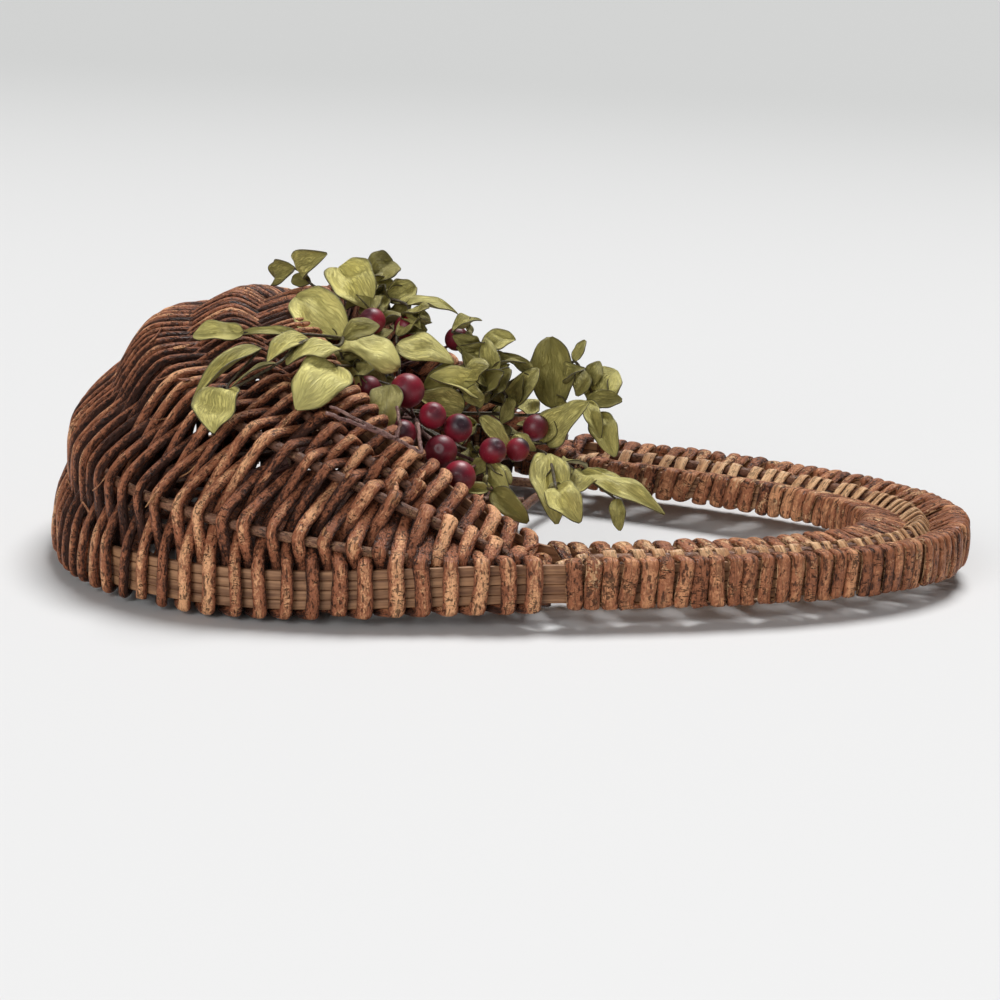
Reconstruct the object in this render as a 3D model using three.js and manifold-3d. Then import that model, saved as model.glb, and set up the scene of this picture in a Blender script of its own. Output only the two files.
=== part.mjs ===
// A hanging wall basket of willow on a reed frame, lying on its back, with a spray of leaves and berries.
// Millimetres. +X runs to the tip of the handle, which is up when it hangs, and +Z points off the wall.
import * as THREE from "three";
import { mergeVertices } from "three/addons/utils/BufferGeometryUtils.js";
import Module from "manifold-3d";

const wasm = await Module();
wasm.setup();

// Back hoop: a stack of flat reeds bent to an egg-shaped ring that lies against the wall.
const HOOP_LENGTH = 343;
const HOOP_WIDTH_AT_MIDDLE = 246;
const HOOP_TAPER = -0.36;
const HOOP_FULLNESS = 0.26;
const HOOP_REEDS = 4;
const HOOP_REED_HEIGHT = 3.15;
const HOOP_REED_THICKNESS = 2.2;
const REED_GAP = 0.3;

// Mouth hoop: it follows the back hoop along the handle, then rises over the pocket as the front rim.
const HANDLE_WIDTH = 33;
const EAR_X = 24;
const LIP_X = -84;
const LIP_HEIGHT = 83;
const RIM_BULGE = 45;
const RIM_SAG = 8;
const MOUTH_REEDS = 3;
const MOUTH_REED_HEIGHT = 2.75;
const MOUTH_REED_THICKNESS = 2.2;

// Round rods: the middle hoop runs between the other two, and the ribs go round the bottom of the pocket.
const RIB_RADIUS = 2;
const LOWER_RIB_ANGLE = 24;
const MIDDLE_ROD_ANGLE = 55;
const UPPER_RIB_ANGLE = 75;
const POCKET_ANGLES = [LOWER_RIB_ANGLE, MIDDLE_ROD_ANGLE, UPPER_RIB_ANGLE];

// Weaving: whole willow rods on the pocket and the back, split willow strip on the handle.
const ROD_WIDTH = 4.2;
const ROD_THICKNESS = 3.2;
const STRIP_WIDTH = 5.4;
const STRIP_THICKNESS = 1.2;
const STRIP_COVER = 0.8;
const STRIP_PINCH = 0.5;
const POCKET_WEAVERS = 8;
const TURNS_PER_POCKET_WEAVER = 4;
const NARROW_TURNS = 6;
const HANDLE_LOOPS = 24;
const EAR_GAP = 11;
const FIT = 0.3;

// Back panel: rods fanned from the bottom of the hoop to an edge rod that crosses between the ears.
const BACK_RIB_SHARES = [-1, -0.5, 0, 0.5, 1];
const BACK_SIDE_INSET = 17;
const BACK_EAR_CLEARANCE = 13;
const BACK_START_X = -133;
const BACK_ROW_PITCH = 10.5;
const BACK_WEAVERS = 2;
const BACK_EDGE_SAG = 16;
const BACK_TURN_EASE = 1.5;
const BACK_FIT = 0.8;
const BACK_NARROWS_FROM_X = -80;
const BACK_NARROWS_TO_X = -25;

// Spray: its stems stand in the pocket, and its leaves and berries fill the mouth.
const STEM_RADIUS = 4.5;
const TWIG_RADIUS = 0.9;
const LEAF_THICKNESS = 1.1;
const LEAF_CUP = 0.25;
const LEAF_STEPS = 6;
const LEAF_FULLNESS = 0.85;
const LEAF_FACE = [0, -0.7, 0.7];
const STEM_FOOT_ROW = 2;
const STEM_HEAD = [38, 0, -38];
const TWIGS = 7;
const TWIG_RING_RADIUS = 3.6;

// Leaf sprigs: each branch runs from the stems by way of its points to the base of each of its leaves.
// Places in the spray are measured from the middle of the lip, and stretch with the mouth: they are written
// for a mouth of the length, half width and depth given here.
const WRITTEN_FOR_MOUTH = [98.51, 93.71, 72.75];
const SPRIGS = [
  {
    name: "leaf_sprig_lip",
    place: 3.6,
    branches: [
      {
        leaves: [
          { base: [22, -45, 1], tip: [-4, -24, 16], width: 17 },
          { base: [19, -56, -2], tip: [4, -74, -4], width: 16 },
          { base: [12, -60, 1], tip: [-2, -77, -4], width: 10 },
          { base: [-11, -90, -12], tip: [-13, -111, -24], width: 16, face: [-0.5, -0.4, 0.7] },
          { base: [-28, -86, -12], tip: [-6, -70, -2], width: 10, face: [-0.5, -0.4, 0.7] },
        ],
      },
      { way: [[22, -45, 1]], leaves: [{ base: [4, -50, 4], tip: [-35, -52, 2], width: 9 }] },
      { leaves: [{ base: [21, -62, -6], tip: [14, -95, -17], width: 19 }] },
      { leaves: [{ base: [22, -46, -2], tip: [44, -54, -5], width: 14 }] },
    ],
  },
  {
    name: "leaf_sprig_crown",
    place: 2,
    branches: [
      {
        way: [[28, -12, -3]],
        leaves: [
          { base: [22, -10, 11], tip: [34, 5, 22], width: 12 },
          { base: [18, -14, 10], tip: [11, -8, 20], width: 17 },
        ],
      },
      {
        way: [[24, 2, 1]],
        leaves: [
          { base: [-4, 10, 16], tip: [7, 1, 24], width: 11 },
          { base: [-7, 11, 16], tip: [-18, 21, 11], width: 10 },
        ],
      },
      {
        way: [[36, -10, -3]],
        leaves: [
          { base: [33, -13, 7], tip: [44, -8, 14], width: 10 },
          { base: [42, -17, 7], tip: [61, -14, 5], width: 9 },
        ],
      },
    ],
  },
  {
    name: "leaf_sprig_middle",
    place: 1,
    branches: [
      {
        way: [[54, -6, -27]],
        leaves: [
          { base: [74, -22, -25], tip: [80, -20, -11], width: 10 },
          { base: [70, -32, -23], tip: [56, -42, -13], width: 9 },
        ],
      },
      {
        way: [[54, -6, -27]],
        leaves: [
          { base: [81, -10, -29], tip: [91, -8, -15], width: 9 },
          { base: [70, -8, -13], tip: [82, -5, -5], width: 9 },
        ],
      },
    ],
  },
  {
    name: "leaf_sprig_tall",
    place: 0.1,
    branches: [
      {
        leaves: [
          { base: [98, 2, -32], tip: [94, 7, -6], width: 18 },
          { base: [112, 4, -32], tip: [121, 10, -17], width: 17 },
          { base: [115, 0, -34], tip: [122, -10, -47], width: 11 },
        ],
      },
      { leaves: [{ base: [96, -14, -41], tip: [111, -21, -25], width: 14 }] },
    ],
  },
  {
    name: "leaf_sprig_low",
    place: 5.9,
    branches: [
      {
        way: [[64, -18, -47]],
        leaves: [
          { base: [97, -30, -47], tip: [102, -50, -65], width: 14 },
          { base: [104, -46, -53], tip: [112, -62, -62], width: 13 },
          { base: [110, -32, -52], tip: [144, -38, -63], width: 10 },
        ],
      },
      {
        way: [[64, -18, -47]],
        leaves: [
          { base: [80, -62, -51], tip: [86, -70, -59], width: 7 },
          { base: [78, -66, -50], tip: [68, -72, -50], width: 6 },
        ],
      },
    ],
  },
];

// Berries: a twig runs by way of its points to a fork, and a stalk from the fork to each berry.
const BERRY_TWIGS = [
  {
    name: "berry_twig_front",
    place: 4.3,
    way: [[48, -40, -33]],
    berries: [
      { at: [33, -64, -17], radius: 5 },
      { at: [47, -62, -17], radius: 6.3 },
      { at: [57, -66, -25], radius: 5 },
      { at: [47, -73, -31], radius: 5.2 },
      { at: [66, -61, -30], radius: 5.3 },
      { at: [61, -71, -37], radius: 6 },
    ],
  },
  {
    name: "berry_twig_low",
    place: 5.1,
    way: [[58, -30, -45], [74, -52, -46]],
    berries: [
      { at: [69, -81, -44], radius: 5.9 },
      { at: [79, -60, -38], radius: 5 },
      { at: [87, -44, -40], radius: 4.4 },
      { at: [92, -24, -35], radius: 4.9 },
    ],
  },
  {
    name: "berry_twig_back",
    place: 2.8,
    way: [[38, -20, -17]],
    berries: [
      { at: [30, -36, 4], radius: 5 },
      { at: [42, -27, 1], radius: 4.8 },
      { at: [60, -16, -4], radius: 4.5 },
    ],
  },
];

// Colours of the materials.
const REED_COLOUR = 0x8a6a48;
const BARK_COLOUR = 0x5d3a28;
const STRIP_COLOUR = 0x8c5a38;
const RIB_COLOUR = 0x6b4630;
const LEAF_COLOUR = 0x8f9147;
const TWIG_COLOUR = 0x6d4a3c;
const BERRY_COLOUR = 0x5f1024;
const BERRY_ROUGHNESS = 0.25;

// Worked out from the sizes above.
const HOOP_HALF_HEIGHT = (HOOP_REEDS * HOOP_REED_HEIGHT + (HOOP_REEDS - 1) * REED_GAP) / 2;
const MOUTH_HALF_HEIGHT = (MOUTH_REEDS * MOUTH_REED_HEIGHT + (MOUTH_REEDS - 1) * REED_GAP) / 2;
const HOOP_BOTTOM = ROD_THICKNESS + FIT;
const HOOP_MIDDLE = HOOP_BOTTOM + HOOP_HALF_HEIGHT;
const BACK_OFFSET = RIB_RADIUS + BACK_FIT + ROD_THICKNESS / 2;
const BACK_MIDDLE = BACK_OFFSET + ROD_THICKNESS / 2;
const BACK_TOP = 2 * BACK_MIDDLE;
const END_OVERHANG = HOOP_REED_THICKNESS / 2 + FIT + ROD_THICKNESS;
const UP = new THREE.Vector3(0, 0, 1);
const CURVE_STEPS = 96;
const ARC_STEPS = 8 * CURVE_STEPS;
const GRID = 48;
const SAMPLE_STEP = 1 / 400;
const SAMPLE_ANGLE = 1;
const HALVINGS = 40;

const point = (x, y, z) => new THREE.Vector3(x, y, z);
const wrap = (share) => ((share % 1) + 1) % 1;
const radians = THREE.MathUtils.degToRad;

// The back hoop's middle line, once round from the handle's tip by way of +Y.
function eggPoint(angle) {
  const c = Math.cos(angle);
  const swell = 1 + HOOP_TAPER * c + HOOP_FULLNESS * c * c;
  return point((HOOP_LENGTH / 2) * c, (HOOP_WIDTH_AT_MIDDLE / 2) * Math.sin(angle) * swell, HOOP_MIDDLE);
}
const eggPoints = Array.from({ length: CURVE_STEPS }, (_, i) => eggPoint((i / CURVE_STEPS) * 2 * Math.PI));
const hoopCurve = new THREE.CatmullRomCurve3(eggPoints, true);
hoopCurve.arcLengthDivisions = ARC_STEPS;
const HOOP_ROUND = hoopCurve.getLength();

// Both hoops are straight between the points of one grid, so that what is wound on them lies on their faces.
const gridShares = Array.from({ length: GRID }, (_, i) => i / GRID);
function onGrid(values, share) {
  const along = wrap(share) * GRID;
  const i = Math.floor(along) % GRID;
  return values[i].clone().lerp(values[(i + 1) % GRID], along - Math.floor(along));
}
function gridTangents(points) {
  return points.map((_, i) => {
    const before = points[(i + GRID - 1) % GRID];
    const after = points[(i + 1) % GRID];
    return after.clone().sub(before).normalize();
  });
}
const hoopPoints = gridShares.map((share) => hoopCurve.getPointAt(share));
const hoopTangents = gridTangents(hoopPoints);
const hoopAt = (share) => onGrid(hoopPoints, share);
const hoopAlong = (share) => onGrid(hoopTangents, share).normalize();
const hoopOut = (share) => hoopAlong(share).cross(UP).normalize();

// The share of the way round at which a line set in from the hoop's +Y side passes a given x.
const insetFrom = (share, inset) => hoopAt(share).addScaledVector(hoopOut(share), -inset);
function shareAtX(x, inset) {
  let low = 0;
  let high = 0.5;
  for (let i = 0; i < HALVINGS; i++) {
    const middle = (low + high) / 2;
    if (insetFrom(middle, inset).x > x) low = middle;
    else high = middle;
  }
  return (low + high) / 2;
}
const EAR_SHARE = shareAtX(EAR_X, 0);

// The front rim's middle line, from the ear at +Y over the lip to the ear at -Y.
const handleEdge = (share) => insetFrom(share, HANDLE_WIDTH);
const ear = handleEdge(EAR_SHARE);
function rimPoint(angle) {
  const rise = Math.sin(angle);
  const x = ear.x + (LIP_X - ear.x) * rise;
  const y = Math.cos(angle) * (ear.y + RIM_BULGE * rise);
  const z = ear.z + (LIP_HEIGHT - ear.z) * rise - 4 * RIM_SAG * rise * (1 - rise);
  return point(x, y, z);
}
const RIM_STEPS = CURVE_STEPS / 2;
const rimPoints = Array.from({ length: RIM_STEPS + 1 }, (_, i) => rimPoint((i / RIM_STEPS) * Math.PI));
const rimCurve = new THREE.CatmullRomCurve3(rimPoints);
rimCurve.arcLengthDivisions = ARC_STEPS;

// The mouth hoop's middle line, at the same share of the way round as the back hoop, eased at the ears.
function mouthCorner(share) {
  const along = wrap(share);
  if (along < EAR_SHARE || along > 1 - EAR_SHARE) return handleEdge(along);
  return rimCurve.getPointAt((along - EAR_SHARE) / (1 - 2 * EAR_SHARE));
}
const EASE = 1 / 3;
const mouthPoints = gridShares.map((share) => {
  const before = mouthCorner(share - 1 / GRID);
  const after = mouthCorner(share + 1 / GRID);
  return mouthCorner(share).lerp(before.lerp(after, 1 / 2), EASE);
});
const mouthTangents = gridTangents(mouthPoints);
const mouthAt = (share) => onGrid(mouthPoints, share);
const mouthAlong = (share) => onGrid(mouthTangents, share).normalize();
const mouthIn = (share) => UP.clone().cross(mouthAlong(share)).normalize();
const mouthUp = (share) => mouthAlong(share).cross(mouthIn(share)).normalize();

// The pocket's skin: a quarter ellipse from the back hoop, at angle 0, to the mouth hoop, at 90 degrees.
function skinAt(share, angle) {
  const hoop = hoopAt(share);
  const mouth = mouthAt(share);
  const reach = 1 - Math.cos(radians(angle));
  const x = THREE.MathUtils.lerp(hoop.x, mouth.x, reach);
  const y = THREE.MathUtils.lerp(hoop.y, mouth.y, reach);
  return point(x, y, THREE.MathUtils.lerp(hoop.z, mouth.z, Math.sin(radians(angle))));
}
function skinAlong(share, angle) {
  return skinAt(share + SAMPLE_STEP, angle).sub(skinAt(share - SAMPLE_STEP, angle)).normalize();
}
function skinOut(share, angle) {
  const run = skinAt(share, angle + SAMPLE_ANGLE).sub(skinAt(share, angle - SAMPLE_ANGLE));
  return skinAlong(share, angle).cross(run).normalize();
}

// Closes rings of points into one solid: each ring is joined to the next, and a strip with ends is capped.
function solidOfRings(rings, closed) {
  const sides = rings[0].length;
  const index = [];
  for (let i = 0; i < rings.length - (closed ? 0 : 1); i++) {
    const here = i * sides;
    const next = ((i + 1) % rings.length) * sides;
    for (let j = 0; j < sides; j++) {
      const k = (j + 1) % sides;
      index.push(here + j, here + k, next + k, here + j, next + k, next + j);
    }
  }
  if (!closed) {
    const last = (rings.length - 1) * sides;
    for (let j = 1; j < sides - 1; j++) {
      index.push(0, j + 1, j, last, last + j, last + j + 1);
    }
  }
  const positions = rings.flat().flatMap((p) => p.toArray());
  let volume = 0;
  for (let i = 0; i < index.length; i += 3) {
    const [a, b, c] = index.slice(i, i + 3).map((v) => point().fromArray(positions, 3 * v));
    volume += a.dot(b.cross(c));
  }
  if (volume < 0) index.reverse();
  const geometry = new THREE.BufferGeometry();
  geometry.setAttribute("position", new THREE.Float32BufferAttribute(positions, 3));
  geometry.setIndex(index);
  return geometry;
}

// Rings along a bent strip. Each step has a place, the warp's direction there and the strip's width.
// The strip lies flat on the warp, and its thickness is kept round each corner.
function stripRings(steps, thickness) {
  const faces = steps.slice(1).map((step, i) => {
    const run = step.at.clone().sub(steps[i].at);
    const across = step.across.clone().add(steps[i].across);
    return run.cross(across).normalize();
  });
  return steps.map((step, i) => {
    const before = faces[Math.max(i - 1, 0)];
    const after = faces[Math.min(i, faces.length - 1)];
    const lift = before.clone().add(after).multiplyScalar(thickness / 2 / (1 + before.dot(after)));
    const face = lift.clone().normalize();
    const side = step.across.clone().projectOnPlane(face).setLength(step.width / 2);
    const corner = (up, out) => step.at.clone().addScaledVector(lift, up).addScaledVector(side, out);
    return [corner(1, 1), corner(1, -1), corner(-1, -1), corner(-1, 1)];
  });
}

// The least gap between stretches of a winding that aren't neighbours, measured between points on its edges.
function leastGap(rings) {
  const NEIGHBOURS = 4;
  const marks = rings.flatMap((ring, i) => {
    const next = rings[Math.min(i + 1, rings.length - 1)];
    return ring.flatMap((p, j) => [p, p.clone().lerp(next[j], 0.5)].map((at) => ({ at, ring: i })));
  });
  let least = Infinity;
  marks.forEach((a, i) => {
    for (let j = i + 1; j < marks.length; j++) {
      const b = marks[j];
      if (b.ring - a.ring >= NEIGHBOURS) least = Math.min(least, a.at.distanceToSquared(b.at));
    }
  });
  return Math.sqrt(least);
}

// Rings of a round rod along a line of points.
const STEEP = 0.9;
function rodRings(points, radius, sides, closed) {
  const count = points.length;
  const pick = (i) => points[closed ? (i + count) % count : Math.min(Math.max(i, 0), count - 1)];
  return points.map((at, i) => {
    const run = pick(i + 1).clone().sub(pick(i - 1)).normalize();
    const level = Math.abs(run.z) > STEEP ? point(1, 0, 0) : UP;
    const side = run.clone().cross(level).normalize();
    const lift = side.clone().cross(run);
    return Array.from({ length: sides }, (_, j) => {
      const turn = ((j + 0.5) / sides) * 2 * Math.PI;
      const out = side.clone().multiplyScalar(Math.cos(turn)).addScaledVector(lift, Math.sin(turn));
      return at.clone().addScaledVector(out, radius);
    });
  });
}

const root = new THREE.Group();
const basket = new THREE.Group();
root.add(basket);

const spray = new THREE.Group();
basket.add(spray);
spray.position.set(LIP_X, 0, LIP_HEIGHT);

function addPiece(name, geometry, color, { group = basket, roughness = 0.8 } = {}) {
  const material = new THREE.MeshStandardMaterial({ color, roughness, metalness: 0 });
  const mesh = new THREE.Mesh(geometry, material);
  mesh.name = name;
  group.add(mesh);
}

const ROD_SIDES = 6;
function addRod(name, points, closed = false) {
  const rings = rodRings(points, RIB_RADIUS, ROD_SIDES, closed);
  addPiece(name, solidOfRings(rings, closed), RIB_COLOUR);
}

// Back hoop and mouth hoop: flat reeds, one on another, each bent once round.
function reedRings(at, out, up, thickness, height, offset) {
  return gridShares.map((share) => {
    const corner = (side, rise) =>
      at(share)
        .addScaledVector(out(share), (side * thickness) / 2)
        .addScaledVector(up(share), offset + (rise * height) / 2);
    return [corner(1, 1), corner(1, -1), corner(-1, -1), corner(-1, 1)];
  });
}
function addReeds(name, count, at, out, up, thickness, height) {
  for (let i = 0; i < count; i++) {
    const offset = (i - (count - 1) / 2) * (height + REED_GAP);
    const rings = reedRings(at, out, up, thickness, height, offset);
    addPiece(`${name}_${i + 1}`, solidOfRings(rings, true), REED_COLOUR);
  }
}
const straightUp = () => UP;
addReeds("back_hoop_reed", HOOP_REEDS, hoopAt, hoopOut, straightUp, HOOP_REED_THICKNESS, HOOP_REED_HEIGHT);
addReeds("mouth_hoop_reed", MOUTH_REEDS, mouthAt, mouthIn, mouthUp, MOUTH_REED_THICKNESS, MOUTH_REED_HEIGHT);

// The middle hoop rod, and the two ribs that start inside the weave and go round the pocket's bottom.
const middlePoints = gridShares.map((share) => skinAt(share, MIDDLE_ROD_ANGLE));
addRod("middle_hoop_rod", middlePoints, true);

// Rows of the pocket's weave, counted from the ear at +Y to the ear at -Y.
const POCKET_TURNS = POCKET_WEAVERS * TURNS_PER_POCKET_WEAVER;
const POCKET_SHARE = 1 - 2 * EAR_SHARE - EAR_GAP / HOOP_ROUND;
const rowShare = (row) => (1 - POCKET_SHARE) / 2 + ((row + 0.5) / (2 * POCKET_TURNS)) * POCKET_SHARE;

function addRib(name, angle) {
  const start = rowShare(2 * NARROW_TURNS - 0.5);
  const between = gridShares.filter((share) => share > start && share < 1 - start);
  const points = [start, ...between, 1 - start].map((share) => skinAt(share, angle));
  addRod(name, points);
}
addRib("lower_rib", LOWER_RIB_ANGLE);
addRib("upper_rib", UPPER_RIB_ANGLE);

// Steps of a weaver. Out, inside and up are signs that pick a corner of a stack of reeds.
// A weaver is widest on the faces that show, and is pinched between the hoops, where its rows cross.
function hoopStep(share, out, up, { thickness, hoopFace, hoop }) {
  const aside = HOOP_REED_THICKNESS / 2 + FIT + thickness / 2;
  const above = HOOP_HALF_HEIGHT + FIT + thickness / 2;
  const at = hoopAt(share).addScaledVector(hoopOut(share), out * aside).addScaledVector(UP, up * above);
  return { at, across: hoopAlong(share), width: out > 0 ? hoopFace : hoop };
}
function mouthStep(share, inside, up, { thickness, mouthFace, mouth }) {
  const aside = MOUTH_REED_THICKNESS / 2 + FIT + thickness / 2;
  const above = MOUTH_HALF_HEIGHT + FIT + thickness / 2;
  const at = mouthAt(share)
    .addScaledVector(mouthIn(share), inside * aside)
    .addScaledVector(mouthUp(share), up * above);
  return { at, across: mouthAlong(share), width: inside > 0 ? mouthFace : mouth };
}
function rodStep(centre, away, along, width, thickness) {
  const clear = RIB_RADIUS + FIT + thickness / 2;
  const at = centre.clone().addScaledVector(away, clear);
  return { at, across: along, width, rod: { centre, away, along, clear } };
}
function ribStep(share, angle, side, { thickness, middle }) {
  const away = skinOut(share, angle).multiplyScalar(side);
  return rodStep(skinAt(share, angle), away, skinAlong(share, angle), middle, thickness);
}

// Pushes each step at a rod off it until the runs to its neighbours clear the rod too.
function settled(steps) {
  const ROUNDS = 12;
  for (let round = 0; round < ROUNDS; round++) {
    steps.forEach(({ at, rod }, i) => {
      if (!rod) return;
      const beside = [steps[i - 1], steps[i + 1]].filter(Boolean);
      const gaps = beside.map((other) => {
        const from = at.clone().sub(rod.centre).projectOnPlane(rod.along);
        const run = other.at.clone().sub(at).projectOnPlane(rod.along);
        const nearest = THREE.MathUtils.clamp(-from.dot(run) / run.lengthSq(), 0, 1);
        return from.addScaledVector(run, nearest).length();
      });
      const short = rod.clear - Math.min(...gaps);
      if (short > 0) at.addScaledVector(rod.away, short);
    });
  }
  return steps;
}

// One turn of plain weave: up to the mouth hoop at one share of the way round, and back at another.
// Where the first rod stands clear above the back hoop, the weaver leans straight to it from the hoop's top.
function weaveTurn(away, back, angles, size) {
  const up = angles.map((angle, i) => ribStep(away, angle, i % 2 ? 1 : -1, size));
  const down = angles.map((angle, i) => ribStep(back, angle, i % 2 ? -1 : 1, size)).reverse();
  const overHoop = [hoopStep(away, 1, 1, size), hoopStep(away, -1, 1, size)];
  const downHoop = hoopStep(back, -1, 1, size);
  const leansUp = up[0].at.z > overHoop[0].at.z;
  const leansDown = down[down.length - 1].at.z > downHoop.at.z;
  return [
    hoopStep(away, 1, -1, size),
    ...(leansUp ? overHoop.slice(0, 1) : overHoop),
    ...up,
    mouthStep(away, -1, 1, size),
    mouthStep(away, 1, 1, size),
    mouthStep(back, 1, -1, size),
    mouthStep(back, -1, -1, size),
    ...down,
    ...(leansDown ? [downHoop] : []),
    hoopStep(back, -1, -1, size),
  ];
}

// Pocket weavers: each is one rod that goes up to the rim and back to the hoop several times.
const rodSize = {
  thickness: ROD_THICKNESS,
  hoopFace: ROD_WIDTH,
  hoop: ROD_WIDTH,
  middle: ROD_WIDTH,
  mouth: ROD_WIDTH,
  mouthFace: ROD_WIDTH,
};
for (let weaver = 0; weaver < POCKET_WEAVERS; weaver++) {
  const steps = Array.from({ length: TURNS_PER_POCKET_WEAVER }, (_, i) => {
    const turn = weaver * TURNS_PER_POCKET_WEAVER + i;
    const beside = Math.min(turn, POCKET_TURNS - 1 - turn);
    const angles = beside < NARROW_TURNS ? [MIDDLE_ROD_ANGLE] : POCKET_ANGLES;
    return weaveTurn(rowShare(2 * turn), rowShare(2 * turn + 1), angles, rodSize);
  }).flat();
  const rings = stripRings(settled(steps), ROD_THICKNESS);
  addPiece(`pocket_weaver_${weaver + 1}`, solidOfRings(rings, false), BARK_COLOUR);
}

// Handle windings: split strip woven over the three warps, from the tip of the handle to each ear.
const HANDLE_SHARE = EAR_SHARE - EAR_GAP / 2 / HOOP_ROUND;
const LOOP_SHARE = HANDLE_SHARE / HANDLE_LOOPS;
function stripSize(share) {
  const pitch = (at) => at(share + LOOP_SHARE / 2).distanceTo(at(share - LOOP_SHARE / 2));
  const face = (at) => Math.min(STRIP_WIDTH, STRIP_COVER * pitch(at));
  const pinched = (at) => Math.min(STRIP_WIDTH, STRIP_PINCH * STRIP_COVER * pitch(at));
  return {
    thickness: STRIP_THICKNESS,
    hoopFace: face(hoopAt),
    hoop: pinched(hoopAt),
    middle: pinched((at) => skinAt(at, MIDDLE_ROD_ANGLE)),
    mouth: pinched(mouthAt),
    mouthFace: pinched(mouthAt),
  };
}
for (const [name, side] of [["handle_winding_far", 1], ["handle_winding_near", -1]]) {
  const steps = Array.from({ length: HANDLE_LOOPS }, (_, i) => {
    const away = side * (i + 1 / 2) * LOOP_SHARE;
    const back = side * (i + 1) * LOOP_SHARE;
    return weaveTurn(away, back, [MIDDLE_ROD_ANGLE], stripSize(away));
  }).flat();
  const rings = stripRings(settled(steps), STRIP_THICKNESS);
  console.log(`${name}: least gap to itself ${leastGap(rings).toFixed(2)} mm`);
  addPiece(name, solidOfRings(rings, false), STRIP_COLOUR);
}

// Back panel: an edge rod between the ears, ribs that run down from it, and rods woven across them.
const edgeEnd = mouthAt(EAR_SHARE).addScaledVector(mouthIn(EAR_SHARE), MOUTH_REED_THICKNESS / 2 + FIT);
const edgeX = (y) => edgeEnd.x - BACK_EDGE_SAG * (1 - (y / edgeEnd.y) ** 2);
const EDGE_STEPS = 16;
const edgePoints = Array.from({ length: EDGE_STEPS + 1 }, (_, i) => {
  const y = THREE.MathUtils.lerp(-edgeEnd.y, edgeEnd.y, i / EDGE_STEPS);
  return point(edgeX(y), y, BACK_MIDDLE);
});
addRod("back_edge_rod", edgePoints);

function backHalfWidth(x) {
  const narrowing = THREE.MathUtils.smoothstep(x, BACK_NARROWS_FROM_X, BACK_NARROWS_TO_X);
  const inset = THREE.MathUtils.lerp(BACK_SIDE_INSET, HANDLE_WIDTH + BACK_EAR_CLEARANCE, narrowing);
  return insetFrom(shareAtX(x, inset), inset).y;
}
const BACK_RIB_STEPS = 12;
const backFoot = -HOOP_LENGTH / 2 + END_OVERHANG + FIT;
BACK_RIB_SHARES.forEach((share, i) => {
  const foot = share === 0 ? backFoot : BACK_START_X;
  const head = edgeX(share * backHalfWidth(EAR_X - BACK_EDGE_SAG)) - RIB_RADIUS - 2 * FIT;
  const points = Array.from({ length: BACK_RIB_STEPS + 1 }, (_, j) => {
    const x = THREE.MathUtils.lerp(foot, head, j / BACK_RIB_STEPS);
    return point(x, share * backHalfWidth(x), BACK_MIDDLE);
  });
  addRod(`back_rib_${i + 1}`, points);
});

// Rods woven across the back ribs, each turning round the outer ribs from one row to the next.
function backRow(x, forth) {
  const backStep = (y, side) => {
    const z = BACK_MIDDLE + (forth ? side : -side) * BACK_OFFSET;
    return { at: point(x, y, z), across: point(1, 0, 0), width: ROD_WIDTH };
  };
  const half = backHalfWidth(x);
  const before = backHalfWidth(x - BACK_ROW_PITCH / 2);
  const after = backHalfWidth(x + BACK_ROW_PITCH / 2);
  const lean = Math.hypot(1, (after - before) / BACK_ROW_PITCH);
  const turnAt = half + (BACK_OFFSET + BACK_TURN_EASE) * lean;
  const over = BACK_RIB_SHARES.map((share, i) => backStep(share * half, i % 2 ? -1 : 1));
  const steps = [backStep(-turnAt, 1), ...over, backStep(turnAt, 1)];
  return forth ? steps : steps.reverse();
}
const backRowX = (row) => BACK_START_X + (row + 0.5) * BACK_ROW_PITCH;
const backTop = edgeX(0) - RIB_RADIUS - ROD_WIDTH;
const BACK_ROWS = Math.floor((backTop - BACK_START_X) / BACK_ROW_PITCH);
const rowsEach = Math.ceil(BACK_ROWS / BACK_WEAVERS);
for (let weaver = 0; weaver < BACK_WEAVERS; weaver++) {
  const rows = Math.min(rowsEach, BACK_ROWS - weaver * rowsEach);
  const steps = Array.from({ length: rows }, (_, i) => {
    const row = weaver * rowsEach + i;
    return backRow(backRowX(row), row % 2 === 0);
  }).flat();
  const rings = stripRings(steps, ROD_THICKNESS);
  addPiece(`back_weaver_${weaver + 1}`, solidOfRings(rings, false), BARK_COLOUR);
}

// Joins closed solids that run into each other into one.
function joined(geometries) {
  const solids = geometries.map((geometry) => {
    const merged = mergeVertices(geometry);
    const vertProperties = merged.getAttribute("position").array;
    const triVerts = new Uint32Array(merged.index.array);
    return new wasm.Manifold(new wasm.Mesh({ numProp: 3, vertProperties, triVerts }));
  });
  const mesh = solids.reduce((whole, solid) => whole.add(solid)).getMesh();
  const geometry = new THREE.BufferGeometry();
  geometry.setAttribute("position", new THREE.BufferAttribute(mesh.vertProperties, 3));
  geometry.setIndex(new THREE.BufferAttribute(mesh.triVerts, 1));
  return geometry;
}

// A place in the spray, stretched to the mouth's own length, half width and depth.
const mouthHalfWidth = Math.max(...mouthPoints.map(({ y }) => y));
const mouthSize = point(ear.x - LIP_X, mouthHalfWidth, LIP_HEIGHT - ear.z);
const placed = (place) => point(...place).multiply(mouthSize).divide(point(...WRITTEN_FOR_MOUTH));

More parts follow.
